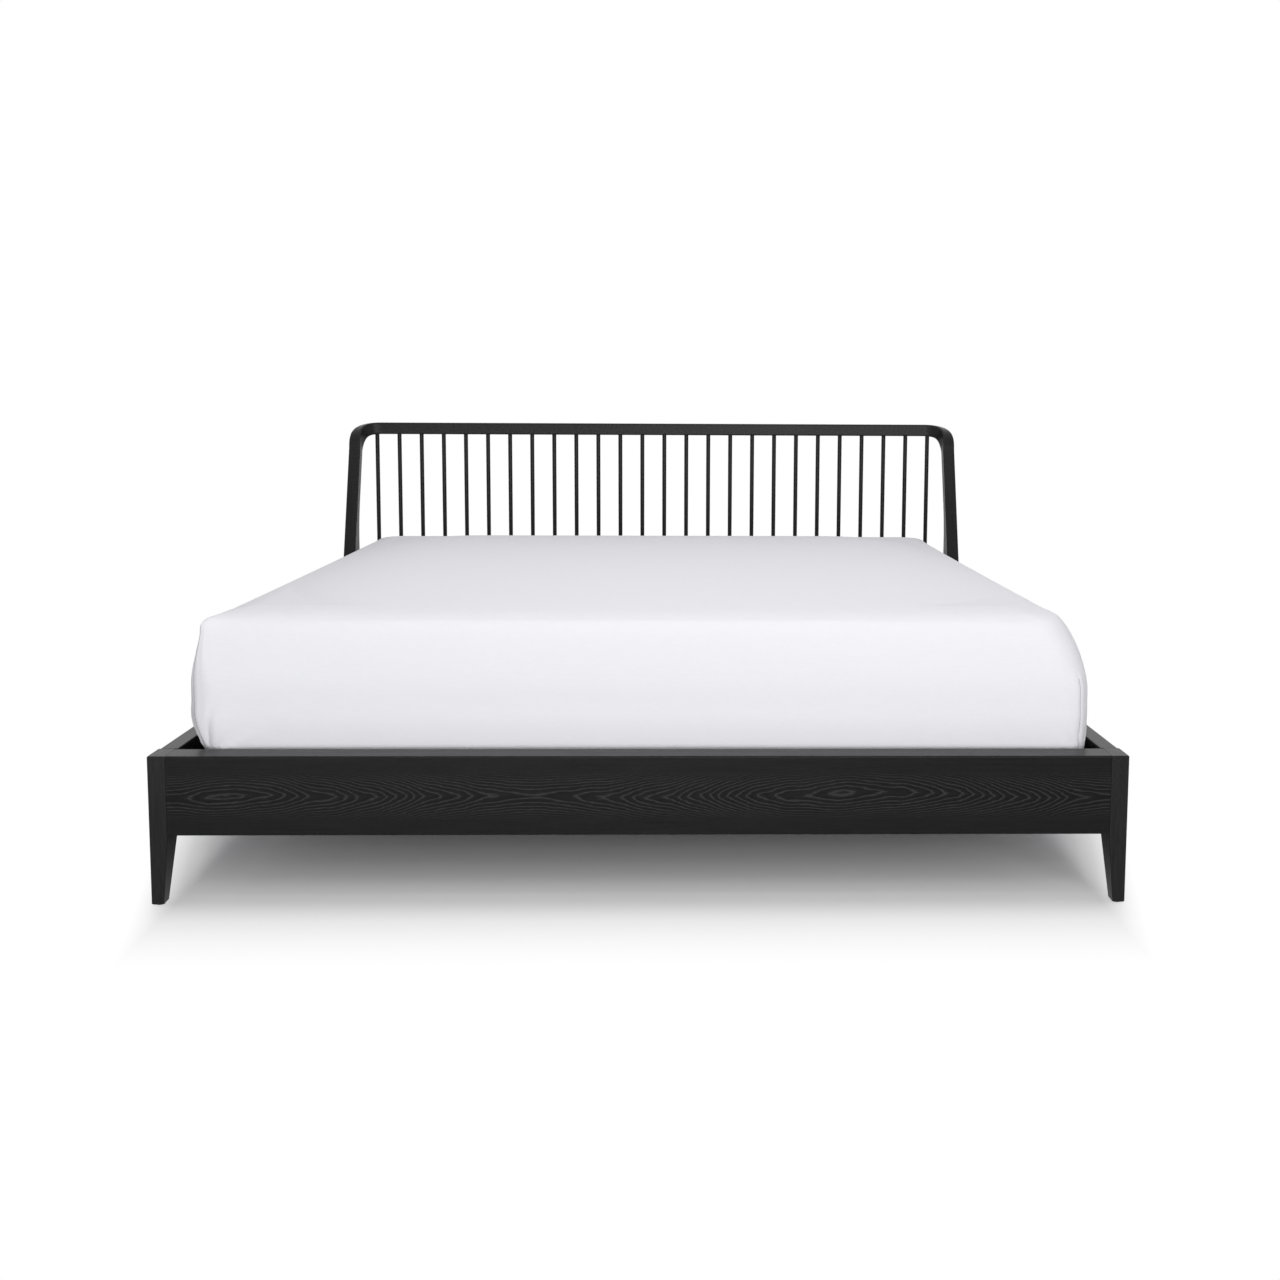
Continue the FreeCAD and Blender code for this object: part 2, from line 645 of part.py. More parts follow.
# ---- mattress and sheet ----
def bedding_wire(height, stand_in, draw_in, skin):
    """One level outline: four corner arcs joined by sides that curve gently inwards."""
    half_x = MATTRESS_HALF_WIDTH - stand_in - skin
    half_y = (MATTRESS_BACK - MATTRESS_FRONT) / 2 - stand_in - skin
    middle_y = FOOT + (MATTRESS_BACK + MATTRESS_FRONT) / 2
    radius = MATTRESS_CORNER_RADIUS - skin
    centre = Vector(0, middle_y, BASE_Z + height)
    diagonal = radius * math.sqrt(0.5)
    edges = []
    last = None
    first = None
    for sign_x, sign_y in ((1, 1), (-1, 1), (-1, -1), (1, -1)):
        knuckle = centre + Vector(sign_x * (half_x - radius), sign_y * (half_y - radius), 0)
        on_x = knuckle + X_AXIS * (sign_x * radius)
        on_y = knuckle + Y_AXIS * (sign_y * radius)
        middle = knuckle + Vector(sign_x * diagonal, sign_y * diagonal, 0)
        start, end = (on_x, on_y) if sign_x == sign_y else (on_y, on_x)
        if last:
            edges.append(drawn_side(last, start, centre, draw_in))
        edges.append(Part.Arc(start, middle, end).toShape())
        first = first or start
        last = end
    edges.append(drawn_side(last, first, centre, draw_in))
    return Part.Wire(edges)


def drawn_side(start, end, centre, draw_in):
    """A side between two corners, straight or an arc that dips inwards by draw_in."""
    if not draw_in:
        return Part.makeLine(start, end)
    halfway = (start + end) / 2
    inward = (centre - halfway).normalize()
    return Part.Arc(start, halfway + inward * draw_in, end).toShape()


def bedding_form(skin, lowest):
    """The crowned body of the mattress, drawn in by skin on its sides and top."""
    top = MATTRESS_PROFILE[-1][0]
    sections = []
    for height, stand_in, draw_in in MATTRESS_PROFILE:
        level = lowest + (height / top) * (top - lowest - skin)
        sections.append(bedding_wire(level, stand_in, draw_in, skin))
    return Part.makeLoft(sections, True, True)


def mattress():
    return bedding_form(SHEET_THICKNESS, LIFT_GAP + SHEET_THICKNESS)


def fitted_sheet(core):
    """The sheet over the mattress: its top, its drawn-down sides and the border tucked underneath."""
    rim = bedding_wire(0, SHEET_WRAP, 0, 0)
    opening = Part.Face(rim).extrude(Z_AXIS * (LIFT_GAP + SHEET_THICKNESS + 1))
    return bedding_form(0, LIFT_GAP).cut([core, opening])


# ---- build ----
def build():
    mortises = tenons(FIT)
    plate_holes = coach_screws(FIT)
    for side in SIDES:
        for end, name in (("front", "front_leg_"), ("back", "rear_leg_")):
            save(name + side, cut(leg(side, end), mortises))
        save("side_rail_" + side, cut(mirrored(side_rail(), side), mortises))
        save("headboard_post_" + side, cut(mirrored(headboard_post(), side), mortises))
        save("slat_ledger_" + side, mirrored(ledger(), side))
        save("corner_bracket_" + side, cut(mirrored(corner_bracket(), side), plate_holes))
        save("joining_plate_" + side, cut(mirrored(joining_plate(), side), plate_holes))

    save("front_rail", cut(front_rail(), mortises))
    save("back_rail", cut(back_rail(), mortises))
    save("headboard_top_rail", cut(top_rail(), mortises))
    save_group("headboard_corners", with_mirror_images([cut(headboard_corner(), mortises)]))
    for number, x in enumerate(spindle_places(), 1):
        save("spindle_%02d" % number, spindle(x))

    save_group("slats", slats())
    save_group("slat_webbing", webbing())
    save("centre_beam", centre_beam())
    hangers = [beam_hanger(end) for end in ("front", "back")]
    save_group("beam_hangers", [cut(hanger, hanger_screws(FIT)) for hanger in hangers])
    for end, place in CENTRE_LEGS.items():
        y = FOOT + place
        save("centre_leg_" + end, centre_leg(y))
        save("foot_pad_" + end, foot_pad(y))
        save("foot_stem_" + end, foot_stem(y))

    save_group("loose_tenons", tenons())
    save_group("coach_screws", coach_screws())
    save_group("wood_screws", slat_and_ledger_screws() + hanger_screws())
    save_group("leg_glides", leg_glides())

    core = mattress()
    save("mattress", core)
    save("fitted_sheet", fitted_sheet(core))


os.makedirs("parts", exist_ok=True)
build()
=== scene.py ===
import math

import bpy
from mathutils import Matrix, Vector, noise

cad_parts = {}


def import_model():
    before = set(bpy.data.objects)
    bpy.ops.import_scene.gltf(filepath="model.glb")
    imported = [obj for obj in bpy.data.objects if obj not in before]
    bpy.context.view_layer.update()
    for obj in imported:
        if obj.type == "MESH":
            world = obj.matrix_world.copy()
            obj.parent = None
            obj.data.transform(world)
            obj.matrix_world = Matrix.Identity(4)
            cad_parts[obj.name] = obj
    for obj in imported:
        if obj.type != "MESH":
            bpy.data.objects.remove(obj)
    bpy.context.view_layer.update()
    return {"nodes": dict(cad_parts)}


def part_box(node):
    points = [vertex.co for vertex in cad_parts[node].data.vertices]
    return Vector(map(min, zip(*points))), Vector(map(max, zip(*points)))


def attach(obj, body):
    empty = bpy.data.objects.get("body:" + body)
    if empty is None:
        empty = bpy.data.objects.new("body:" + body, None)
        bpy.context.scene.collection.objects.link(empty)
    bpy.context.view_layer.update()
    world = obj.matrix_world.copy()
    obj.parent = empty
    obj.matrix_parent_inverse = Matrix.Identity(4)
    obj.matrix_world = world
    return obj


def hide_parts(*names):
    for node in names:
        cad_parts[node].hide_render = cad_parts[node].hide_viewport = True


# A spindle bed with a mattress in a fitted sheet. Metres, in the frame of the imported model: X runs across
# the bed, +Y from the foot to the head and +Z up. The origin is on the floor, in the middle of the outline.

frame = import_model()
nodes = frame["nodes"]

# ---- camera, solved from the photograph's edges ----
SENSOR_WIDTH = 36  # millimetres, like the lens
LENS = 42.478
SHIFT_X = -0.05005
SHIFT_Y = -0.0590
CAMERA_PLACE = Vector((0.05903, -4.18404, 1.05778))
CAMERA_YAW = -0.02257
CAMERA_PITCH = 0.10657
CAMERA_ROLL = 0.00447
CAMERA_REACH = 100

# ---- studio ----
WHITE = (1, 1, 1, 1)
WORLD_TINT = (0.965, 0.96, 1.0, 1)
WORLD_STRENGTH = 0.33
FLOOR_HALF = 30
FLOOR_Z = -0.0002  # just under the glides, so that the two surfaces never coincide
FLOOR_TONE = (0.55, 0.55, 0.55, 1)  # for the light it throws back; seen directly it is white
# across and along the bed: how far from its middle the floor starts to turn white, and over what distance
SHADOW_HALF = (0.985, 0.55)
SHADOW_FADE = (0.20, 0.87)
# the share of that distance, added up both ways, and how white the floor is there
SHADOW_RAMP = ((0.0, 0.0), (0.25, 0.055), (0.42, 0.19), (0.606, 0.39), (0.79, 0.68), (1.0, 1.0))
# name, place, target, size and watts
SOFTBOXES = (
    ("overhead", (0.0, 0.3, 3.6), (0, 0, 0.4), (4.0, 4.0), 25),
    ("front", (1.5, -5.6, 1.15), (0, -1.0, 0.45), (3.0, 1.5), 93),
    ("front_low", (-0.8, -5.2, 0.3), (0, -1.0, 0.5), (3.4, 0.5), 57),
    ("over_foot", (0.2, -0.7, 2.4), (0.2, -0.69, 0.0), (3.4, 0.6), 15.5),
    ("back", (0.0, 3.2, 2.4), (0, 0.9, 0.8), (3.4, 1.0), 12),
)

# ---- wood: what the boxes of the CAD nodes don't give ----
ARRIS = 0.0035  # radius of the rounded edges
ROUND_STEPS = 4
ROUND_HIGHLIGHT_AND_WEAR = (0.0, 0.6, 1.0, 0.6, 0.0)  # how much painted highlight and rubbing the points of a rounded edge get
HEADBOARD_ARRIS = 0.005
POST_ROUND_STEPS = 5
FRONT_BOARD = 0.028
LEG_FOOT_WIDTH = 0.026
LEG_FOOT_DEPTH = 0.036
POST_LEAN = math.radians(18.6)
POST_DIRECTION = Vector((0, math.sin(POST_LEAN), math.cos(POST_LEAN)))
POST_DEPTH = 0.044
POST_HALF_DEPTH = POST_DEPTH / 2 / math.cos(POST_LEAN)  # measured level
POST_TOP_Z = 0.898
POST_BEND_TOP = 0.723
POST_FRONT_AT_RAIL = 1.833  # from the foot end
POST_FRONT_FILLET = 0.100
POST_BACK_BEND = 0.420
POST_BACK_FILLET = 0.050
POST_FRONT_STEPS = 16
POST_FILLET_STEPS = 10
POST_SWEEP_STEPS = 20
POST_BEND_STEPS = 10
CORNER_HANDLE_RAIL = 0.074
CORNER_HANDLE_POST = 0.056
CORNER_STEPS = 24
# height and radius
SPINDLE_PROFILE = (
    (0.303, 0.0063),
    (0.321, 0.0063),
    (0.5, 0.0066),
    (0.7, 0.0070),
    (0.9465, 0.0071),
    (0.9645, 0.0071),
)
SPINDLE_SIDES = 24
FRAME_OAK = ("black_stained_oak", "bed_frame")  # slot and body of the wooden pieces

# ---- grain: places along it, behind the board's face and across the board ----
GRAIN_SEED = 7
GRAIN_SPREAD = 40  # boards are cut up to this far either way along the grain
CORNER_GRAIN_DEPTH = 0.02
FLAME_PERIOD = 1.31  # along a board, from one eye of the figure to the next
FLAME_START = -0.218  # where along the front rail the flames meet
FLAME_TIP = 0.004  # how blunt the tips of the flames are
FLAME_OPENING = 0.42  # how fast the rings step off the flame's middle line, and how that grows per metre
FLAME_CLOSING = 8.5
FLAME_FADE = (0.054, 0.030)  # from the board's middle: where the flames have faded, and are full
FADED_FLAMES = 0.14  # the share that is left
PITH_NEAR = 0.006
PITH_FAR = 0.106
PITH_WOBBLE = 0.006  # towards the face, and across the board
PITH_SWAY = 0.009
RING_SPACING = 0.0056
RING_WAVER = 0.9  # in rings
# where in a growth ring the lines lie
LIGHT_LINE = (0.60, 1.0)
DARK_LINE = (0.20, 0.62)
LIGHT_LINE_TONE = 0.031
DARK_LINE_TONE = 0.0010
PORE_TONE = 0.0030
# tone of the painted highlight on the rounded edges, broken up like rubbed stain
EDGE_HIGHLIGHT_AND_RUB_TONE = 0.026
# noise cells per metre on the three axes
WAVER_CELLS = (25, 140, 140)
PORE_CELLS = (38, 900, 900)
STREAK_CELLS = (6, 160, 160)
FIBRE_CELLS = (20, 600, 600)
SLUB_CELLS = (60, 60, 240)
WAVE_RADIANS = 20  # of a wave texture, per unit of its scale and per metre

# ---- bedding ----
BASE_Z = 0.260
LIFT_GAP = 0.0003
MATTRESS_HALF_WIDTH = 0.975
MATTRESS_FRONT = 0.084  # from the foot end
MATTRESS_BACK = 2.112
MATTRESS_HALF_LENGTH = (MATTRESS_BACK - MATTRESS_FRONT) / 2
MATTRESS_CORNER_RADIUS = 0.062
# how pointed the sheet's top corners are: front left, front right, back right, back left
POINTED = (0.82, -0.25, 0.45, 0.45)
POINTED_FROM = 0.170  # height over the slats at which a pointed corner starts to narrow
POINTED_TO = 0.300
SHEET_THICKNESS = 0.002
SHEET_WRAP = 0.130
CORNER_CELLS = 16
SIDE_CELLS = 84
END_CELLS = 80
COLUMNS = END_CELLS + CORNER_CELLS
ROWS = SIDE_CELLS + CORNER_CELLS
RING = 2 * (COLUMNS + ROWS)
CORNER_NUMBERS = (0, COLUMNS, COLUMNS + ROWS, 2 * COLUMNS + ROWS)
HEM_ROWS = 5
CROWDING = 0.66  # how much closer the cells lie near the corners
ROW_STEP = 0.009  # up the sides
CROWN_EDGE = (0.110, 0.140)  # from the sides and from the ends; inwards of it the top is one patch
CROWN_INNER = (0.420, 0.560)

# height over the slats, how far the left side, the right side and the ends stand in from their fullest
# line, and how far all are drawn in between the corners
MATTRESS_PROFILE = (
    (0.0, 0.060, 0.032, 0.030, 0.002),
    (0.034, 0.036, 0.009, 0.006, 0.004),
    (0.104, 0.007, 0.001, 0.000, 0.007),
    (0.150, 0.000, 0.000, 0.001, 0.010),
    (0.202, 0.001, 0.002, 0.003, 0.011),
    (0.262, 0.017, 0.015, 0.018, 0.008),
    (0.312, 0.034, 0.038, 0.040, 0.005),
    (0.332, 0.051, 0.059, 0.068, 0.003),
    (0.343, 0.110, 0.110, 0.140, 0.0),
)
CROWN_HEIGHT = 0.370
PROFILE_RUN_ON = (0.008, 0.080, 0.080, 0.080, 0.0)  # the step past the last row
QUILT_PITCH = 0.12
QUILT_DEPTH = 0.006

# ---- folds of the sheet, each list for front left, front right, back right, back left ----
PLEAT_RELIEF = (0.0090, 0.0040, 0.0050, 0.0050)
PLEATS = 13  # in a full turn about the gathered corner
FINE_PLEATS = 0.4  # how deep beside the main ones, and how many to one of them
FINE_TURN = 2.3
PLEAT_CENTRE = 0.030  # height over the slats of the point that the pleats fan out from
PLEAT_REACH = (0.180, 0.120, 0.150, 0.150)
# the front left corner's tip: across, from the mattress's front, height over the slats
EAR_AT = Vector((-0.940, 0.040, 0.330))
EAR_PULL = Vector((-0.014, -0.009, 0.004))
EAR_SPREAD = 0.026
# the front right seam lies a little towards the front
SEAM_NUMBERS = (0, COLUMNS - 2, COLUMNS + ROWS, 2 * COLUMNS + ROWS)
SEAM_RADIUS = 0.0013
SEAM_SIDES = 6
SEAM_SWELL = (0.0, 0.0022, 0.0012)  # how far the cloth stands up on the seam, one cell beside it, and two
SEAM_TOP = (0.322, 0.214, 0.300, 0.300)  # height over the slats

# ---- how the sheet settles ----
SETTLING_FRAMES = 20
SETTLING_PRESSURE = 3.0
SETTLING_MASS = 0.02  # kilograms a point
SETTLING_SLACK = 0.012
SETTLING_CAP = 0.006

# ---- edges ----
SHARP_ANGLE = math.radians(48)
SOFTENED_ANGLE = math.radians(40)
SOFTENED_STEPS = 2
WELD_DISTANCE = 0.00001
UPRIGHT = 0.7  # a unit direction with more Z than this counts as upright

# ---- places from the CAD boxes ----
front_low, front_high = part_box("front_rail")
leg_low, leg_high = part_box("front_leg_right")
side_low, side_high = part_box("side_rail_right")
top_low, top_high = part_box("headboard_top_rail")
FOOT = front_low.y
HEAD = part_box("back_rail")[1].y
MATTRESS_MIDDLE_Y = FOOT + (MATTRESS_BACK + MATTRESS_FRONT) / 2
RAIL_TOP = front_high.z
RAIL_BOTTOM = front_low.z
RAIL_X = (side_low.x + side_high.x) / 2
BOARD = side_high.x - side_low.x
KNEE_Y = side_high.y
REAR_LEG_FACE = HEAD - (leg_high.y - leg_low.y)
SPINDLE_Y = (top_low.y + top_high.y) / 2
TOP_RAIL_Z = (top_low.z + top_high.z) / 2
X_AXIS = Vector((1, 0, 0))
Y_AXIS = Vector((0, 1, 0))
Z_AXIS = Vector((0, 0, 1))


# ---- materials ----
def add(tree, kind, inputs=(), **settings):
    """A shader node with its settings, and with inputs that are values or other nodes' sockets."""
    node = tree.nodes.new("ShaderNode" + kind)
    for name, value in settings.items():
        setattr(node, name, value)
    for socket, value in dict(inputs).items():
        if isinstance(value, bpy.types.NodeSocket):
            tree.links.new(value, node.inputs[socket])
        else:
            node.inputs[socket].default_value = value
    return node


def maths(tree, operation, first, second=0.0):
    """One step of arithmetic on numbers or sockets."""
    return add(tree, "Math", {0: first, 1: second}, operation=operation).outputs[0]


def stretched(tree, vector, scale):
    return add(tree, "Mapping", {"Vector": vector, "Scale": scale}).outputs[0]


def noise_of(tree, vector, scale=1.0, detail=3.0, roughness=0.5):
    values = {"Vector": vector, "Scale": scale, "Detail": detail, "Roughness": roughness}
    return add(tree, "TexNoise", values).outputs["Fac"]


def between(tree, value, low, high, to_low=0.0, to_high=1.0):
    """The range from low to high mapped to another, whose ends hold outside it."""
    values = {"Value": value, "From Min": low, "From Max": high, "To Min": to_low, "To Max": to_high}
    return add(tree, "MapRange", values).outputs[0]


def spread(tree, noise_value, low=0.0, high=1.0):
    """The middle of a noise's range, where most of it lies, mapped to low and high."""
    return between(tree, noise_value, 0.3, 0.7, low, high)


def blended(tree, share, first, second):
    """A colour between two others."""
    node = add(tree, "Mix", data_type="RGBA")
    for socket, value in ((node.inputs[0], share), (node.inputs[6], first), (node.inputs[7], second)):
        if isinstance(value, bpy.types.NodeSocket):
            tree.links.new(value, socket)
        else:
            socket.default_value = value
    return node.outputs[2]


def bumped(tree, shader, height, distance):
    bump = add(tree, "Bump", {"Height": height, "Distance": distance, "Strength": 1.0})
    tree.links.new(bump.outputs[0], shader.inputs["Normal"])


def new_material(name, **values):
    """A material and the tree and shader inside it, with plain values set on the shader's own sockets."""
    material = bpy.data.materials.new(name)
    material.use_nodes = True
    shader = material.node_tree.nodes["Principled BSDF"]
    for socket, value in values.items():
        shader.inputs[socket.replace("_", " ")].default_value = value
    return material, material.node_tree, shader


def object_place(tree):
    return add(tree, "TexCoord").outputs["Object"]


def flame_distance(tree, vector):
    """Distance from a pith that runs slantwise behind the face, which cuts its rings into flames."""
    parts = add(tree, "SeparateXYZ", {0: vector})
    along = add(tree, "CombineXYZ", {0: parts.outputs[0]}).outputs[0]
    turn = maths(tree, "MULTIPLY", parts.outputs[0], 2 * math.pi / FLAME_PERIOD)
    slant = between(tree, maths(tree, "COSINE", turn), -1.0, 1.0, PITH_NEAR, PITH_FAR)
    wobble = spread(tree, noise_of(tree, along, 5.0, 2.0), -PITH_WOBBLE, PITH_WOBBLE)
    sideways = spread(tree, noise_of(tree, along, 2.1, 1.0), -PITH_SWAY, PITH_SWAY)
    deep = maths(tree, "ADD", parts.outputs[1], maths(tree, "ADD", slant, wobble))
    wide = maths(tree, "ADD", parts.outputs[2], sideways)
    squares = maths(tree, "MULTIPLY", wide, wide)
    blunt = maths(tree, "SQRT", maths(tree, "ADD", squares, FLAME_TIP**2))
    opening = maths(tree, "MULTIPLY", blunt, FLAME_OPENING)
    closing = maths(tree, "MULTIPLY", squares, FLAME_CLOSING)
    return maths(tree, "ADD", deep, maths(tree, "ADD", opening, closing))


def ring_place(tree, vector, distance, spacing):
    """The place within a growth ring, from 0 to 1, at a distance from the pith."""
    waver = noise_of(tree, stretched(tree, vector, WAVER_CELLS), roughness=0.6)
    rings = maths(tree, "DIVIDE", distance, spacing)
    return maths(tree, "FRACT", maths(tree, "ADD", rings, maths(tree, "MULTIPLY", waver, RING_WAVER)))


def band(tree, value, low, high):
    """1 in the middle of a range, falling to 0 at its ends."""
    middle = (low + high) / 2
    return maths(tree, "MINIMUM", between(tree, value, low, middle), between(tree, value, high, middle))


def grey(value):
    """A grey with the least touch of warmth, as linear values."""
    return (value, value * 0.975, value * 0.98, 1)


def stained_oak(name, figure, dark, light):
    """Oak stained black: rings and open pores show faintly through the stain, and the rounded edges are
    painted lighter, a painted highlight broken up in patches like rubbed stain.

    figure is how much of the rings shows, 1 on a plain-sawn board and little on a thin rod, and dark and
    light are the tones of the fibres between the rings.
    """
    material, tree, shader = new_material(name, Specular_IOR_Level=0.11)
    grain = add(tree, "Attribute", attribute_name="grain").outputs["Vector"]
    edge_highlight_and_wear = add(tree, "Attribute", attribute_name="edge_highlight_and_wear").outputs["Fac"]
    ring = ring_place(tree, grain, flame_distance(tree, grain), RING_SPACING)
    across = maths(tree, "ABSOLUTE", add(tree, "SeparateXYZ", {0: grain}).outputs[2])
    flames = between(tree, across, *FLAME_FADE, FADED_FLAMES * figure, figure)
    pores = noise_of(tree, stretched(tree, grain, PORE_CELLS), roughness=0.6)
    streaks = noise_of(tree, stretched(tree, grain, STREAK_CELLS), detail=5.0, roughness=0.65)
    highlight_and_rub_patches = between(tree, noise_of(tree, grain, 22.0, 4.0, 0.7), 0.42, 0.68, 0.1, 0.7)
    colour = blended(tree, spread(tree, streaks), grey(dark), grey(light))
    light_lines = maths(tree, "MULTIPLY", band(tree, ring, *LIGHT_LINE), flames)
    colour = blended(tree, light_lines, colour, grey(LIGHT_LINE_TONE))
    dark_lines = maths(tree, "MULTIPLY", band(tree, ring, *DARK_LINE), flames)
    colour = blended(tree, dark_lines, colour, grey(DARK_LINE_TONE))
    pore_mask = between(tree, pores, 0.58, 0.72, 0.0, 0.35 + 0.45 * figure)
    colour = blended(tree, pore_mask, colour, grey(PORE_TONE))
    # painted highlight along the rounded edges, in patches like rubbed stain
    colour = blended(tree, maths(tree, "MULTIPLY", edge_highlight_and_wear, highlight_and_rub_patches), colour, grey(EDGE_HIGHLIGHT_AND_RUB_TONE))
    tree.links.new(colour, shader.inputs["Base Color"])
    tree.links.new(spread(tree, streaks, 0.27, 0.35), shader.inputs["Roughness"])
    height = maths(tree, "SUBTRACT", maths(tree, "MULTIPLY", light_lines, 0.4), pore_mask)
    bumped(tree, shader, height, 0.00004 + 0.00006 * figure)
    return material


def planed_wood(name, grain_turn, light, dark, spacing):
    """Planed wood, plain or stained, its grain along X after grain_turn."""
    material, tree, shader = new_material(name, Specular_IOR_Level=0.3)
    values = {"Vector": object_place(tree), "Rotation": grain_turn}
    turned = add(tree, "Mapping", values).outputs[0]
    parts = add(tree, "SeparateXYZ", {0: turned})
    level = maths(tree, "ADD", parts.outputs[1], parts.outputs[2])
    rings = between(tree, ring_place(tree, turned, level, spacing), 0.05, 0.45)
    fibres = noise_of(tree, stretched(tree, turned, FIBRE_CELLS), roughness=0.6)
    tone = maths(tree, "ADD", maths(tree, "MULTIPLY", rings, 0.6), spread(tree, fibres, 0.0, 0.4))
    tree.links.new(blended(tree, tone, dark, light), shader.inputs["Base Color"])
    tree.links.new(spread(tree, fibres, 0.55, 0.72), shader.inputs["Roughness"])
    bumped(tree, shader, fibres, 0.0002)
    return material


def metal(name, colour, dark, roughness):
    """Coated or plated steel: an even skin with a fine grain and small scuffs."""
    material, tree, shader = new_material(name, Metallic=0.85)
    place = object_place(tree)
    scuffs = noise_of(tree, place, 90.0, 5.0, 0.7)
    scuffed = blended(tree, between(tree, scuffs, 0.35, 0.65), dark, colour)
    tree.links.new(scuffed, shader.inputs["Base Color"])
    tree.links.new(spread(tree, scuffs, roughness, roughness + 0.15), shader.inputs["Roughness"])
    bumped(tree, shader, noise_of(tree, place, 1400.0, 2.0), 0.00006)
    return material


def moulded_nylon():
    material, tree, shader = new_material("black_nylon", Specular_IOR_Level=0.4)
    place = object_place(tree)
    patches = noise_of(tree, place, 60.0)
    colour = blended(tree, patches, (0.012, 0.012, 0.013, 1), (0.030, 0.030, 0.032, 1))
    tree.links.new(colour, shader.inputs["Base Color"])
    tree.links.new(spread(tree, noise_of(tree, place, 300.0), 0.42, 0.6), shader.inputs["Roughness"])
    bumped(tree, shader, noise_of(tree, place, 2200.0, 2.0), 0.00008)
    return material


def weave(tree, place, radians_per_metre):
    """Threads that cross, as waves: 1 on top of a thread, 0 between threads."""
    height = None
    for direction in ("X", "Y", "Z"):
        scale = radians_per_metre / WAVE_RADIANS
        values = {"Vector": place, "Scale": scale, "Distortion": 0.4, "Detail": 1.0}
        wave = add(tree, "TexWave", values, bands_direction=direction).outputs["Fac"]
        height = wave if height is None else maths(tree, "MULTIPLY", height, wave)
    return height


def cloth(name, light, dark, radians_per_metre, relief):
    """Woven cloth: crossing threads, slubs, and slow rises and dips."""
    values = {"Specular_IOR_Level": 0.15, "Sheen_Weight": 0.15, "Sheen_Roughness": 0.5, "Roughness": 0.88}
    material, tree, shader = new_material(name, **values)
    place = object_place(tree)
    threads = weave(tree, place, radians_per_metre)
    slubs = noise_of(tree, stretched(tree, place, SLUB_CELLS), detail=4.0, roughness=0.6)
    slubs = between(tree, slubs, 0.25, 0.75, 0.25, 0.75)
    tone = maths(tree, "ADD", maths(tree, "MULTIPLY", threads, 0.35), slubs)
    tree.links.new(blended(tree, tone, dark, light), shader.inputs["Base Color"])
    creases = noise_of(tree, place, 7.0, roughness=0.55)
    height = maths(tree, "ADD", maths(tree, "MULTIPLY", threads, 0.05), creases)
    bumped(tree, shader, height, relief)
    return material


OAK = stained_oak("black_stained_oak", 1.0, 0.0027, 0.0058)
# the same black stain with little figure, as on straight-grained boards and rods; its lighter tone is
# painted light, standing in for the light that the headboard, posts, legs and spindles catch
OAK_STRAIGHT_PAINTED_LIGHTER = stained_oak("black_stained_oak_straight_painted_lighter", 0.12, 0.0100, 0.0180)
SPRUCE = ((0.034, 0.032, 0.031, 1), (0.014, 0.013, 0.013, 1), 0.005)  # light, dark, ring spacing
SPRUCE_ACROSS = planed_wood("black_stained_spruce", (0, 0, 0), *SPRUCE)
SPRUCE_ALONG = planed_wood("black_stained_spruce_along", (0, 0, math.pi / 2), *SPRUCE)
SPRUCE_UP = planed_wood("black_stained_spruce_up", (0, math.pi / 2, 0), *SPRUCE)
BEECH = planed_wood("beech", (0, 0, 0), (0.55, 0.36, 0.22, 1), (0.42, 0.26, 0.15, 1), 0.003)
BLACK_STEEL = metal("black_steel", (0.030, 0.030, 0.032, 1), (0.018, 0.018, 0.019, 1), 0.42)
ZINC_STEEL = metal("zinc_steel", (0.56, 0.56, 0.58, 1), (0.40, 0.40, 0.42, 1), 0.28)
NYLON = moulded_nylon()
WEBBING = cloth("black_webbing", (0.030, 0.030, 0.032, 1), (0.010, 0.010, 0.011, 1), 900, 0.0004)
TICKING = cloth("mattress_ticking", (0.78, 0.77, 0.74, 1), (0.62, 0.61, 0.58, 1), 1600, 0.0010)
COTTON = cloth("white_cotton", (0.895, 0.895, 0.925, 1), (0.85, 0.85, 0.88, 1), 3200, 0.0014)
# grey cotton: painted shade, standing in for the shadow in the seams' grooves on the white sheet
SEAM_COTTON_PAINTED_SHADE = cloth("white_cotton_seam_painted_shade", (0.56, 0.56, 0.58, 1), (0.44, 0.44, 0.46, 1), 1200, 0.0008)


# ---- meshes ----
def mesh_piece(name, points, faces, material):
    """An object that shades smoothly but for its sharp edges."""
    mesh = bpy.data.meshes.new(name)
    mesh.from_pydata([tuple(point) for point in points], [], faces)
    mesh.validate()
    mesh.update()
    mesh.shade_smooth()
    mesh.set_sharp_from_angle(angle=SHARP_ANGLE)
    mesh.materials.append(material)
    piece = bpy.data.objects.new(name, mesh)
    bpy.context.scene.collection.objects.link(piece)
    return piece


def placed(piece, slot, body, *replaced):
    """Gives a piece its body and hides the CAD nodes that it stands for; the slot is not used."""
    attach(piece, body)
    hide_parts(*replaced)
    return piece


def rectangle(centre, across, along, width, height):
    """The four corners, in order round the rectangle."""
    w = across * (width / 2)
    h = along * (height / 2)
    return [centre - w - h, centre + w - h, centre + w + h, centre - w + h]


def rounded(points, radius, sharp=()):
    """The outline through points, with all corners rounded but the ones numbered in sharp."""
    outline = []
    for number, corner in enumerate(points):
        if number in sharp:
            outline.append(corner)
            continue
        start = corner + (points[number - 1] - corner).normalized() * radius
        end = corner + (points[(number + 1) % len(points)] - corner).normalized() * radius
        for step in range(ROUND_STEPS + 1):
            t = step / ROUND_STEPS
            outline.append(start * (1 - t) ** 2 + corner * (2 * t * (1 - t)) + end * t**2)
    return outline


def rounded_highlight_and_wear(corners, sharp=()):
    """How much painted edge highlight and rubbing each point of a rounded outline gets."""
    values = []
    for number in range(corners):
        values += [0.0] if number in sharp else ROUND_HIGHLIGHT_AND_WEAR
    return values


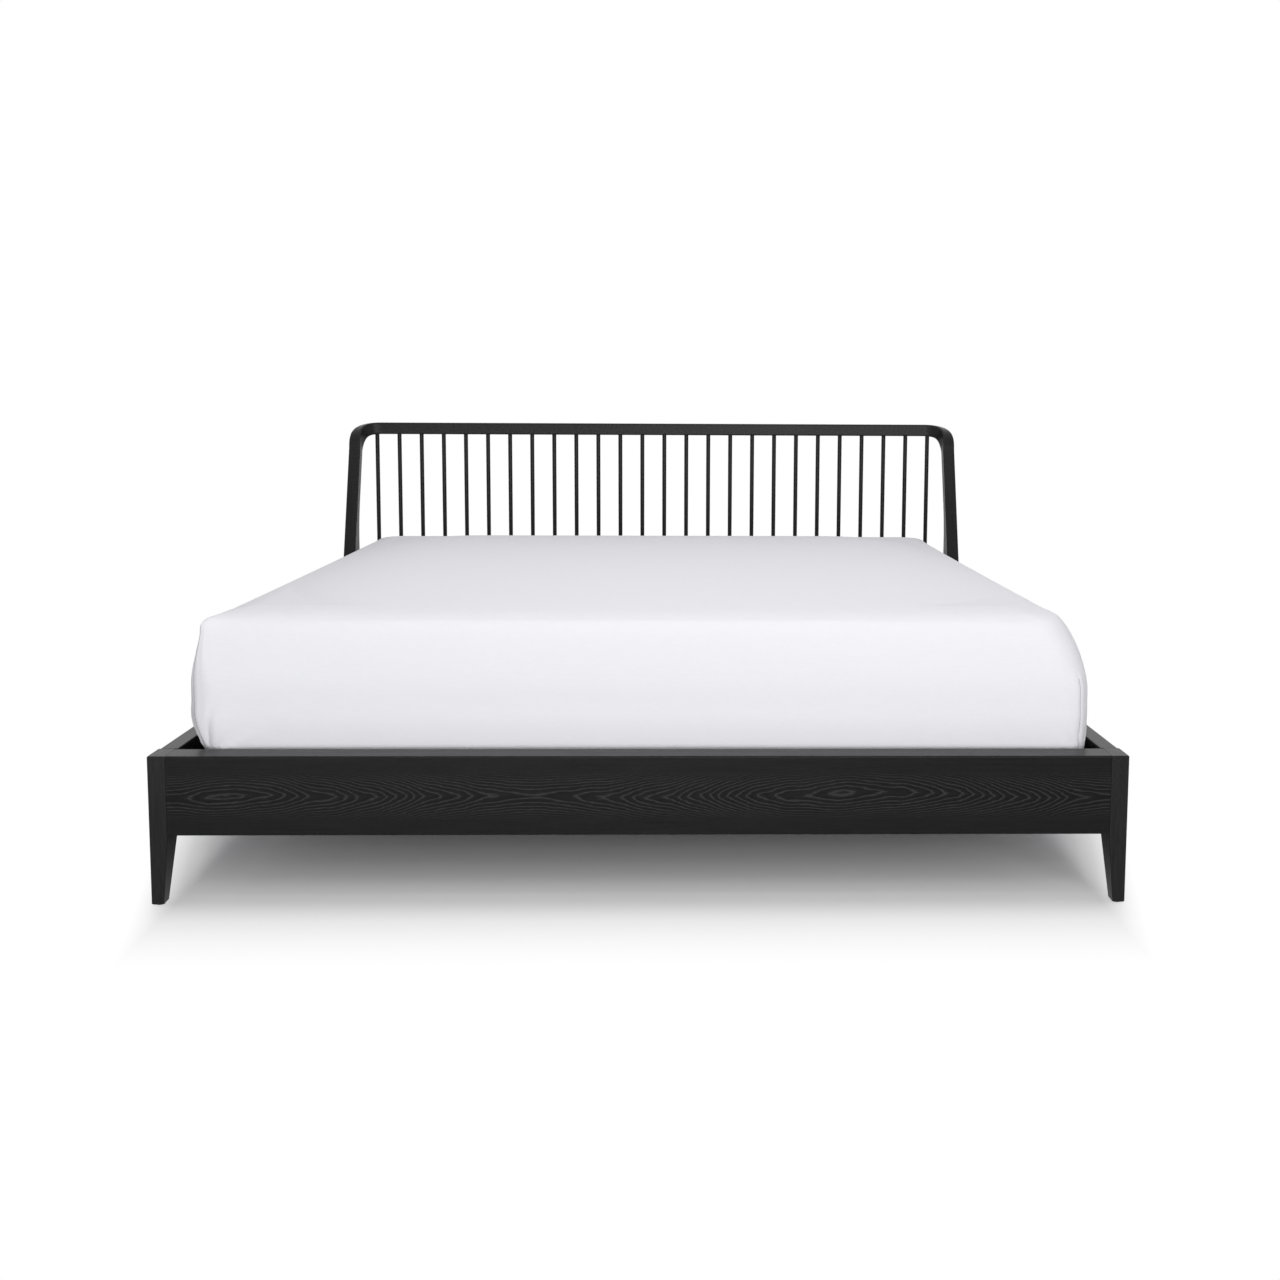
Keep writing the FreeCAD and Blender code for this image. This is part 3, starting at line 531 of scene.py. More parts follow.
def ring_faces(rows, count, first=0):
    """Quads between rows of count points, each row closed on itself."""
    faces = []
    for row in range(rows - 1):
        for number in range(count):
            low = first + row * count
            after = (number + 1) % count
            faces.append((low + number, low + after, low + count + after, low + count + number))
    return faces


def closed_faces(rows, count, first=0):
    """Faces between the rows and over both ends."""
    last = first + (rows - 1) * count
    faces = ring_faces(rows, count, first)
    faces.append(tuple(reversed(range(first, first + count))))
    faces.append(tuple(range(last, last + count)))
    return faces


def flipped(faces):
    return [tuple(reversed(face)) for face in faces]


def skinned(name, rings, material):
    """A closed piece through outlines whose points match one to one."""
    points = [point for ring in rings for point in ring]
    return mesh_piece(name, points, closed_faces(len(rings), len(rings[0])), material)


def even_shading(piece):
    """Flat faces keep their own normals, so that only the rounded edges shade softly."""
    shading = piece.modifiers.new("even_shading", "WEIGHTED_NORMAL")
    shading.keep_sharp = True
    shading.weight = 100


def write_grain(piece, vectors):
    """Where each point lies in the board it was cut from: along the grain, behind the face, across it."""
    layer = piece.data.attributes.new("grain", "FLOAT_VECTOR", "POINT")
    for item, vector in zip(layer.data, vectors):
        item.vector = vector


# painted edge highlight and rubbing, one value per point
def write_highlight_and_wear(piece, ring_values, rings):
    layer = piece.data.attributes.new("edge_highlight_and_wear", "FLOAT", "POINT")
    for item, value in zip(layer.data, list(ring_values) * rings):
        item.value = value


def straight_grain(piece, along, outward, start=None):
    """Grain along one direction, with the face that outward points to as the figured one."""
    across = along.cross(outward)
    points = [vertex.co for vertex in piece.data.vertices]
    low = [min(point.dot(axis) for point in points) for axis in (along, outward, across)]
    high = [max(point.dot(axis) for point in points) for axis in (along, outward, across)]
    if start is None:
        start = noise.random_vector().x * GRAIN_SPREAD
    vectors = []
    for point in points:
        depth = high[1] - point.dot(outward)
        middle = (low[2] + high[2]) / 2
        vectors.append(Vector((point.dot(along) + start, depth, point.dot(across) - middle)))
    write_grain(piece, vectors)


# ---- straight wooden pieces ----
def board(name, section, length, outward, material=OAK, radius=ARRIS, sharp=(), start=None):
    """A straight board: section is its outline at one end, with rounded edges."""
    outline = rounded(section, radius, sharp)
    piece = skinned(name, [outline, [point + length for point in outline]], material)
    straight_grain(piece, length.normalized(), outward, start)
    write_highlight_and_wear(piece, rounded_highlight_and_wear(len(section), sharp), 2)
    even_shading(piece)
    return piece


def front_rail():
    """An upright board with a shelf along its top."""
    inner_y = FOOT + FRONT_BOARD
    shelf_z = RAIL_TOP - FRONT_BOARD
    outline = (
        (FOOT, RAIL_BOTTOM),
        (FOOT, RAIL_TOP),
        (front_high.y, RAIL_TOP),
        (front_high.y, shelf_z),
        (inner_y, shelf_z),
        (inner_y, RAIL_BOTTOM),
    )
    inner_corner = outline.index((inner_y, shelf_z))
    section = [Vector((front_low.x, y, z)) for y, z in outline]
    length = X_AXIS * (front_high.x - front_low.x)
    rail = board("front_rail_board", section, length, -Y_AXIS, sharp=(inner_corner,), start=-FLAME_START)
    placed(rail, *FRAME_OAK, "front_rail")


def box_board(name, node, axis, outward, *style):
    """A board that fills a CAD node's box, its length along axis 0 or 1."""
    low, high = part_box(node)
    size = high - low
    centre = (low + high) / 2
    centre[axis] = low[axis]
    length, across, along = ((X_AXIS, Y_AXIS, Z_AXIS), (Y_AXIS, Z_AXIS, X_AXIS))[axis]
    section = rectangle(centre, across, along, size.dot(across), size.dot(along))
    rail = board(name, section, length * size[axis], outward, *style)
    placed(rail, *FRAME_OAK, node)


def straight_rails():
    for side, outward in (("left", -X_AXIS), ("right", X_AXIS)):
        box_board("side_board_" + side, "side_rail_" + side, 1, outward)
    box_board("back_board", "back_rail", 0, Y_AXIS)
    box_board("top_board", "headboard_top_rail", 0, -Y_AXIS, OAK_STRAIGHT_PAINTED_LIGHTER, HEADBOARD_ARRIS)


def leg(end, side):
    """Upright outside and at the end of the bed, tapering inwards below the rails."""
    low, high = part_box(end + "_leg_" + side)
    outer = Vector((high.x if side == "right" else low.x, high.y if end == "rear" else low.y, 0))
    inward = Vector((-1 if side == "right" else 1, -1 if end == "rear" else 1, 0))
    full = high - low
    rings = []
    for z, width, depth, ease in (
        (low.z, LEG_FOOT_WIDTH, LEG_FOOT_DEPTH, ARRIS / 2),
        (low.z + ARRIS / 2, LEG_FOOT_WIDTH, LEG_FOOT_DEPTH, 0),
        (RAIL_BOTTOM, full.x, full.y, 0),
        (high.z - ARRIS / 2, full.x, full.y, 0),
        (high.z, full.x, full.y, ARRIS / 2),
    ):
        centre = outer + Vector((inward.x * width / 2, inward.y * depth / 2, z))
        section = rectangle(centre, X_AXIS, Y_AXIS, width - 2 * ease, depth - 2 * ease)
        rings.append(rounded(section, ARRIS))
    piece = skinned(end + "_leg_board_" + side, rings, OAK_STRAIGHT_PAINTED_LIGHTER)
    straight_grain(piece, Z_AXIS, -Y_AXIS if end == "front" else Y_AXIS)
    write_highlight_and_wear(piece, rounded_highlight_and_wear(4), len(rings))
    even_shading(piece)
    placed(piece, *FRAME_OAK, end + "_leg_" + side)


# ---- headboard ----
def post_front_y(z):
    return FOOT + POST_FRONT_AT_RAIL + (z - RAIL_TOP) * math.tan(POST_LEAN)


def post_top_centre():
    return Vector((RAIL_X, post_front_y(POST_TOP_Z) + POST_HALF_DEPTH, POST_TOP_Z))


def arc(y, z, radius, start, end, steps):
    """Points on an arc in the YZ plane, between two angles from +Y towards +Z."""
    points = []
    for step in range(steps + 1):
        turn = start + (end - start) * step / steps
        points.append(Vector((0, y + radius * math.cos(turn), z + radius * math.sin(turn))))
    return points


def post_outline():
    """The post's side view, and the numbers of the outline's edges that are butt ends."""
    square = Vector((0, math.cos(POST_LEAN), -math.sin(POST_LEAN)))
    top = post_top_centre()
    top.x = 0
    reach = POST_FRONT_FILLET / math.tan((math.pi / 2 + POST_LEAN) / 2)
    front_y = FOOT + POST_FRONT_AT_RAIL - reach
    front_z = RAIL_TOP + POST_FRONT_FILLET
    front = arc(front_y, front_z, POST_FRONT_FILLET, -POST_LEAN, -math.pi / 2, POST_FRONT_STEPS)

    hollow_y = post_front_y(POST_BEND_TOP) + 2 * POST_HALF_DEPTH + POST_BACK_BEND * math.cos(POST_LEAN)
    hollow_z = POST_BEND_TOP - POST_BACK_BEND * math.sin(POST_LEAN)
    upright_y = hollow_y - POST_BACK_BEND
    drop = hollow_z - RAIL_TOP - POST_BACK_FILLET
    run = REAR_LEG_FACE - upright_y - POST_BACK_FILLET
    sweep = 2 * math.atan2(run, drop)
    radius = POST_BACK_FILLET + drop / math.sin(sweep)
    low_turns = (-math.pi / 2, sweep - math.pi)
    low_z = RAIL_TOP + POST_BACK_FILLET
    fillet = arc(REAR_LEG_FACE, low_z, POST_BACK_FILLET, *low_turns, POST_FILLET_STEPS)
    swept = arc(upright_y + radius, hollow_z, radius, math.pi + sweep, math.pi, POST_SWEEP_STEPS)
    upper = arc(hollow_y, hollow_z, POST_BACK_BEND, math.pi, math.pi - POST_LEAN, POST_BEND_STEPS)

    base = [
        Vector((0, KNEE_Y, RAIL_TOP)),
        Vector((0, KNEE_Y, RAIL_BOTTOM)),
        Vector((0, REAR_LEG_FACE, RAIL_BOTTOM)),
    ]
    points = [top - square * (POST_DEPTH / 2)] + front + base + fillet + swept[1:] + upper[1:]
    points.append(top + square * (POST_DEPTH / 2))
    knee = len(front) + 1
    return points, (knee, knee + 2, len(points) - 1)


def post(side):
    """The leaning post and its foot, cut from one board, with rounded long edges."""
    outline, butt_ends = post_outline()
    count = len(outline)
    sign = 1 if side == "right" else -1
    points = []
    for x in (RAIL_X - BOARD / 2, RAIL_X + BOARD / 2):
        points += [Vector((sign * x, point.y, point.z)) for point in outline]
    faces = closed_faces(2, count)
    if side == "left":
        faces = flipped(faces)
    piece = mesh_piece("post_board_" + side, points, faces, OAK_STRAIGHT_PAINTED_LIGHTER)
    weights = piece.data.attributes.new("bevel_weight_edge", "FLOAT", "EDGE")
    butt_corners = {(number + step) % count for number in butt_ends for step in (0, 1)}
    for edge, weight in zip(piece.data.edges, weights.data):
        first, last = sorted(vertex % count for vertex in edge.vertices)
        number = last if (first, last) == (0, count - 1) else first
        along_rim = first != last
        weight.value = 1.0 if along_rim and number not in butt_ends else 0.0
        edge.use_edge_sharp = number in (butt_ends if along_rim else butt_corners)
    straight_grain(piece, POST_DIRECTION, X_AXIS * sign)
    rim = piece.modifiers.new("rounded_rim", "BEVEL")
    rim.limit_method = "WEIGHT"
    rim.offset_type = "OFFSET"
    rim.width = HEADBOARD_ARRIS
    rim.segments = POST_ROUND_STEPS
    even_shading(piece)
    placed(piece, *FRAME_OAK, "headboard_post_" + side)


def corner_path(t):
    """Point and unit direction at t from 0, at the top rail, to 1, at the post."""
    start = Vector((top_high.x, SPINDLE_Y, TOP_RAIL_Z))
    end = post_top_centre()
    reach_out = start + X_AXIS * CORNER_HANDLE_RAIL
    reach_up = end + POST_DIRECTION * CORNER_HANDLE_POST
    u = 1 - t
    point = start * u**3 + reach_out * (3 * u * u * t) + reach_up * (3 * u * t * t) + end * t**3
    along = (reach_out - start) * (u * u) + (reach_up - reach_out) * (2 * u * t)
    along += (end - reach_up) * (t * t)
    return point, along.normalized()


def corner_section(t):
    """The rail's front face turns in to become the post's inner face, and its top the post's front."""
    point, along = corner_path(t)
    inward = -Y_AXIS * (1 - t) - X_AXIS * t
    inward = (inward - along * inward.dot(along)).normalized()
    upward = inward.cross(along)
    depth = (top_high.y - top_low.y) * (1 - t) + BOARD * t
    height = (top_high.z - top_low.z) * (1 - t) + POST_DEPTH * t
    outline = rounded(rectangle(point, inward, upward, depth, height), HEADBOARD_ARRIS)
    return outline, [Vector((0, (p - point).dot(inward), (p - point).dot(upward))) for p in outline]


def headboard_corners():
    """The carved corners that wrap from the top rail forward and down into the leaning posts."""
    points = []
    grain = []
    faces = []
    for sign in (1, -1):
        first = len(points)
        travelled = 0.0
        last_point = corner_path(0)[0]
        for step in range(CORNER_STEPS + 1):
            t = step / CORNER_STEPS
            outline, local = corner_section(t)
            point = corner_path(t)[0]
            travelled += (point - last_point).length
            last_point = point
            points += [Vector((sign * p.x, p.y, p.z)) for p in outline]
            grain += [v + Vector((travelled + sign, CORNER_GRAIN_DEPTH, 0)) for v in local]
        half = closed_faces(CORNER_STEPS + 1, len(outline), first)
        faces += half if sign == 1 else flipped(half)
    piece = mesh_piece("carved_corners", points, faces, OAK_STRAIGHT_PAINTED_LIGHTER)
    write_grain(piece, grain)
    write_highlight_and_wear(piece, rounded_highlight_and_wear(4), 2 * (CORNER_STEPS + 1))
    even_shading(piece)
    placed(piece, *FRAME_OAK, "headboard_corners")


def circle(centre, z, radius):
    """A level outline of a spindle."""
    turns = [2 * math.pi * number / SPINDLE_SIDES for number in range(SPINDLE_SIDES)]
    return [Vector((centre.x + radius * math.cos(a), centre.y + radius * math.sin(a), z)) for a in turns]


def spindles():
    for name in sorted(name for name in nodes if name.startswith("spindle_")):
        low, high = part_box(name)
        centre = (low + high) / 2
        rings = [circle(centre, z, radius) for z, radius in SPINDLE_PROFILE]
        piece = skinned(name.replace("spindle_", "spindle_rod_"), rings, OAK_STRAIGHT_PAINTED_LIGHTER)
        straight_grain(piece, Z_AXIS, -Y_AXIS)
        placed(piece, *FRAME_OAK, name)


# ---- bedding ----
def smooth_profile(row_step):
    """A smooth curve through the profile, in its own columns, in steps of about row_step."""
    points = [Vector(point) for point in MATTRESS_PROFILE]
    before = points[0] + (points[0] - points[1])
    after = points[-1] + Vector(PROFILE_RUN_ON)
    chain = [before] + points + [after]
    samples = []
    for number in range(1, len(chain) - 2):
        p0, p1, p2, p3 = chain[number - 1 : number + 3]
        span = max(1, round((p2 - p1).length / row_step))
        for step in range(span):
            t = step / span
            squared = (p0 * 2 - p1 * 5 + p2 * 4 - p3) * t**2
            cubed = (p1 * 3 - p0 - p2 * 3 + p3) * t**3
            samples.append(p1 + ((p2 - p0) * t + squared + cubed) * 0.5)
    samples.append(points[-1])
    return samples


def corner_radii(z, skin):
    """The radius of each corner at a height: a pointed corner narrows towards the top."""
    rise = (z - BASE_Z - POINTED_FROM) / (POINTED_TO - POINTED_FROM)
    share = max(0.0, min(1.0, rise))
    share = share * share * (3 - 2 * share)
    return [(MATTRESS_CORNER_RADIUS - skin) * (1 - pointed * share) for pointed in POINTED]


def bedding_ring(z, left_in, right_in, end_in, draw_in, skin):
    """One level outline, from the middle of the front left corner round to the front right and on."""
    half_x = MATTRESS_HALF_WIDTH - (left_in + right_in) / 2 - skin
    half_y = MATTRESS_HALF_LENGTH - end_in - skin
    middle = Vector(((left_in - right_in) / 2, MATTRESS_MIDDLE_Y, z))
    radii = corner_radii(z, skin)
    half_corner = CORNER_CELLS // 2
    ring = []
    for side, cells in enumerate((END_CELLS, SIDE_CELLS, END_CELLS, SIDE_CELLS)):
        along = (X_AXIS, Y_AXIS, -X_AXIS, -Y_AXIS)[side]
        outward = Vector((along.y, -along.x, 0))
        half, reach = (half_x, half_y) if side % 2 == 0 else (half_y, half_x)
        face = middle + outward * reach
        near = radii[side]
        far = radii[(side + 1) % 4]
        start = near - half
        end = half - far
        for step in range(half_corner):
            turn = math.pi / 4 * (1 - step / half_corner)
            place = start - near * math.sin(turn)
            ring.append(face + along * place - outward * (near * (1 - math.cos(turn))))
        for step in range(cells):
            share = step / cells
            share -= CROWDING * math.sin(2 * math.pi * share) / (2 * math.pi)
            dip = draw_in * (1 - (2 * share - 1) ** 2)
            ring.append(face + along * (start + (end - start) * share) - outward * dip)
        for step in range(half_corner):
            turn = math.pi / 4 * step / half_corner
            place = end + far * math.sin(turn)
            ring.append(face + along * place - outward * (far * (1 - math.cos(turn))))
    return ring


def patch_points(ring):
    """The points of a patch that fills a ring, row by row, without the ring itself."""
    corners = [ring[number] for number in CORNER_NUMBERS]
    inside = []
    for row in range(1, ROWS):
        v = row / ROWS
        left = ring[-row]
        right = ring[COLUMNS + row]
        for column in range(1, COLUMNS):
            u = column / COLUMNS
            low = ring[column]
            high = ring[2 * COLUMNS + ROWS - column]
            flat = corners[0] * (1 - u) * (1 - v) + corners[1] * u * (1 - v)
            flat += corners[2] * u * v
            flat += corners[3] * (1 - u) * v
            inside.append(low * (1 - v) + high * v + left * (1 - u) + right * u - flat)
    return inside


def patch_faces(ring_start, inside_start):
    """Quads over a patch, whose rim is the ring that starts at ring_start."""

    def number(column, row):
        if row == 0:
            return ring_start + column
        if row == ROWS:
            return ring_start + 2 * COLUMNS + ROWS - column
        if column == 0:
            return ring_start + RING - row
        if column == COLUMNS:
            return ring_start + COLUMNS + row
        return inside_start + (row - 1) * (COLUMNS - 1) + column - 1

    faces = []
    for row in range(ROWS):
        for column in range(COLUMNS):
            corners = ((column, row), (column + 1, row), (column + 1, row + 1), (column, row + 1))
            faces.append(tuple(number(*corner) for corner in corners))
    return faces


def crown_height(point):
    """The height of the top at a point, from its distances to the nearest side and end."""
    from_side = MATTRESS_HALF_WIDTH - abs(point.x)
    from_end = MATTRESS_HALF_LENGTH - abs(point.y - MATTRESS_MIDDLE_Y)
    inner = []
    for distance, edge, level in zip((from_side, from_end), CROWN_EDGE, CROWN_INNER):
        short = max(0.0, (level - distance) / (level - edge))
        inner.append(short**2)
    fall = CROWN_HEIGHT - MATTRESS_PROFILE[-1][0]
    return BASE_Z + CROWN_HEIGHT - fall * min(1.0, sum(inner))


def side_rings(skin):
    """Rings up the side of the bedding, from its lower edge to the crown's."""
    rings = []
    lowest = BASE_Z + LIFT_GAP + skin
    top = MATTRESS_PROFILE[-1][0]
    for height, left_in, right_in, end_in, draw_in in smooth_profile(ROW_STEP):
        z = lowest + max(0.0, height) / top * (top - LIFT_GAP - 2 * skin)
        rings.append(bedding_ring(z, left_in, right_in, end_in, draw_in, skin))
    return rings


def crowned(rings, skin):
    """The points and faces of rings with the crown over the last one."""
    points = [point for ring in rings for point in ring]
    faces = ring_faces(len(rings), RING) + patch_faces(len(points) - RING, len(points))
    inside = patch_points(rings[-1])
    for point in inside:
        point.z = crown_height(point) - skin
    return points + inside, faces


def mattress():
    """A closed crowned body in ticking, with a quilted underside."""
    rings = side_rings(SHEET_THICKNESS)
    points, faces = crowned(rings, SHEET_THICKNESS)
    faces += flipped(patch_faces(0, len(points)))
    for point in patch_points(rings[0]):
        quilt = abs(math.sin(point.x * math.pi / QUILT_PITCH) * math.sin(point.y * math.pi / QUILT_PITCH))
        point.z += QUILT_DEPTH * (1 - quilt**0.5)
        points.append(point)
    piece = mesh_piece("mattress_body", points, faces, TICKING)
    placed(piece, "mattress_ticking", "bedding", "mattress")
    return piece


def pleated(ring, number, corner):
    """How far a corner's pleats push a point of a ring outwards."""
    steps = (number - CORNER_NUMBERS[corner] + RING // 2) % RING - RING // 2
    point = ring[number]
    aside = math.copysign((point - ring[CORNER_NUMBERS[corner]]).length, steps)
    above = point.z - BASE_Z - PLEAT_CENTRE
    reach = math.hypot(aside, above) / PLEAT_REACH[corner]
    if reach >= 1:
        return 0.0
    turn = PLEATS * math.atan2(aside, above)
    fan = 1 + FINE_PLEATS + math.sin(turn + corner) + FINE_PLEATS * math.sin(FINE_TURN * turn)
    return PLEAT_RELIEF[corner] * fan / 2 * (1 - reach * reach) ** 2


def folded(ring):
    """A ring with the corners' pleats, and with the cloth swelling on both sides of each seam."""
    result = []
    for number, point in enumerate(ring):
        along = ring[(number + 1) % RING] - ring[number - 1]
        outward = Vector((along.y, -along.x, 0)).normalized()
        push = sum(pleated(ring, number, corner) for corner in range(4))
        for seam, top in zip(SEAM_NUMBERS, SEAM_TOP):
            cells = abs((number - seam + RING // 2) % RING - RING // 2)
            if cells < len(SEAM_SWELL) and point.z < BASE_Z + top:
                push += SEAM_SWELL[cells]
        result.append(point + outward * push)
    return result


def pull_ear(points):
    """The sheet's front left top corner stands up in a small point."""
    tip = EAR_AT + Vector((0, FOOT + MATTRESS_FRONT, BASE_Z))
    for point in points:
        share = math.exp(-(((point - tip).length / EAR_SPREAD) ** 2))
        point += EAR_PULL * share


def settled(piece, held_points):
    """Pulls the cloth tight over air pressure for a moment; nothing sinks in or moves past the cap."""
    start = [vertex.co.copy() for vertex in piece.data.vertices]
    outward = [vertex.normal.copy() for vertex in piece.data.vertices]
    hem = piece.vertex_groups.new(name="hem")
    hem.add(range(held_points), 1.0, "REPLACE")
    simulated = piece.modifiers.new("settling", "CLOTH")
    simulated.settings.vertex_group_mass = hem.name
    simulated.settings.use_pressure = True
    simulated.settings.uniform_pressure_force = SETTLING_PRESSURE
    simulated.settings.mass = SETTLING_MASS
    simulated.settings.shrink_min = -SETTLING_SLACK
    simulated.settings.effector_weights.gravity = 0
    simulated.collision_settings.use_collision = False
    simulated.point_cache.frame_end = SETTLING_FRAMES
    for number in range(1, SETTLING_FRAMES + 1):
        bpy.context.scene.frame_set(number)
    result = piece.evaluated_get(bpy.context.evaluated_depsgraph_get())
    settled_points = [vertex.co.copy() for vertex in result.data.vertices]
    piece.modifiers.remove(simulated)
    bpy.context.scene.frame_set(1)
    for vertex, before, after, normal in zip(piece.data.vertices, start, settled_points, outward):
        shift = after - before
        shift -= normal * min(0.0, shift.dot(normal))
        vertex.co = before + shift * min(1.0, SETTLING_CAP / max(shift.length, SETTLING_CAP))
    piece.data.update()


def sheet_seams(sheet, rows):
    """The corner seams: a rib along the sheet from the hem up to each top corner, in grey cotton that is
    painted shade of the seam's groove.
    """
    points = []
    faces = []
    for seam, top in zip(SEAM_NUMBERS, SEAM_TOP):
        path = [sheet.data.vertices[row * RING + seam].co for row in range(rows)]
        path = [point for point in path if point.z < BASE_Z + top]
        first = len(points)
        for number, point in enumerate(path):
            along = (path[min(number + 1, len(path) - 1)] - path[max(number - 1, 0)]).normalized()
            aside = along.cross(Z_AXIS if abs(along.z) < UPRIGHT else X_AXIS).normalized()
            across = along.cross(aside)
            for side in range(SEAM_SIDES):
                turn = 2 * math.pi * side / SEAM_SIDES
                points.append(point + (aside * math.cos(turn) + across * math.sin(turn)) * SEAM_RADIUS)
        faces += ring_faces(len(path), SEAM_SIDES, first)
    piece = mesh_piece("sheet_seams", points, faces, SEAM_COTTON_PAINTED_SHADE)
    return placed(piece, "white_cotton", "bedding")


def fitted_sheet(core):
    """Cotton over the top and down the sides, its elastic border tucked under."""
    hem_z = BASE_Z + LIFT_GAP
    rings = []
    for row in range(HEM_ROWS):
        stand_ins = [SHEET_WRAP + (edge - SHEET_WRAP) * row / HEM_ROWS for edge in MATTRESS_PROFILE[0][1:4]]
        rings.append(bedding_ring(hem_z, *stand_ins, 0.0, 0.0))
    rings += [folded(ring) for ring in side_rings(0.0)]
    points, faces = crowned(rings, 0.0)
    pull_ear(points)
    piece = mesh_piece("cotton_sheet", points, faces, COTTON)
    settled(piece, HEM_ROWS * RING)
    placed(piece, "white_cotton", "bedding", "fitted_sheet")
    seams = sheet_seams(piece, len(rings))
    subdivided = piece.modifiers.new("finer", "SUBSURF")
    subdivided.levels = 1
    subdivided.render_levels = 1


# ---- CAD nodes that stay, with softened edges and better materials ----
def soften(node, width):
    weld = node.modifiers.new("weld", "WELD")
    weld.merge_threshold = WELD_DISTANCE
    bevel = node.modifiers.new("softened", "BEVEL")
    bevel.limit_method = "ANGLE"
    bevel.angle_limit = SOFTENED_ANGLE
    bevel.width = width
    bevel.segments = SOFTENED_STEPS


def dress(names, material, width):
    for name in names:
        node = nodes[name]
        node.data.materials.clear()
        node.data.materials.append(material)
        soften(node, width)


def carried_over():
    """Nodes, their material and the width of their softened edges."""
    dress(["slats"], SPRUCE_ACROSS, 0.0015)
    dress(["slat_ledger_left", "slat_ledger_right", "centre_beam"], SPRUCE_ALONG, 0.0015)
    dress(["centre_leg_front", "centre_leg_back"], SPRUCE_UP, 0.001)
    dress(["loose_tenons"], BEECH, 0.0005)
    dress(["corner_bracket_left", "corner_bracket_right"], BLACK_STEEL, 0.0005)
    dress(["joining_plate_left", "joining_plate_right", "beam_hangers"], BLACK_STEEL, 0.0005)
    dress(["coach_screws", "wood_screws", "foot_stem_front", "foot_stem_back"], ZINC_STEEL, 0.0003)
    dress(["leg_glides", "foot_pad_front", "foot_pad_back"], NYLON, 0.0004)
    dress(["slat_webbing"], WEBBING, 0.0002)


# ---- studio ----
def camera():
    forward = Vector((
        -math.sin(CAMERA_YAW) * math.cos(CAMERA_PITCH),
        math.cos(CAMERA_YAW) * math.cos(CAMERA_PITCH),
        -math.sin(CAMERA_PITCH),
    ))
    level = Vector((math.cos(CAMERA_YAW), math.sin(CAMERA_YAW), 0))
    upright = level.cross(forward)
    right = level * math.cos(CAMERA_ROLL) + upright * math.sin(CAMERA_ROLL)
    up = upright * math.cos(CAMERA_ROLL) - level * math.sin(CAMERA_ROLL)
    data = bpy.data.cameras.new("camera")
    data.lens = LENS
    data.sensor_width = SENSOR_WIDTH
    data.shift_x = SHIFT_X
    data.shift_y = SHIFT_Y
    data.clip_end = CAMERA_REACH
    eye = bpy.data.objects.new("camera", data)
    turned = Matrix((right, up, -forward)).transposed().to_4x4()
    eye.matrix_world = Matrix.Translation(CAMERA_PLACE) @ turned
    bpy.context.scene.collection.objects.link(eye)
    bpy.context.scene.camera = eye


def seen_directly(tree):
    """1 for rays from the camera and for those that mirror or pass what it sees."""
    path = add(tree, "LightPath")
    seen = maths(tree, "MAXIMUM", path.outputs["Is Camera Ray"], path.outputs["Is Glossy Ray"])
    return maths(tree, "MAXIMUM", seen, path.outputs["Is Transmission Ray"])


def world():
    studio = bpy.data.worlds.new("studio")
    bpy.context.scene.world = studio
    studio.use_nodes = True
    tree = studio.node_tree
    light = tree.nodes["Background"]
    light.inputs["Color"].default_value = WORLD_TINT
    light.inputs["Strength"].default_value = WORLD_STRENGTH
    white = add(tree, "Background", {"Color": WHITE, "Strength": 1.0})
    shares = {0: seen_directly(tree), 1: light.outputs[0], 2: white.outputs[0]}
    mix = add(tree, "MixShader", shares)
    tree.links.new(mix.outputs[0], tree.nodes["World Output"].inputs["Surface"])


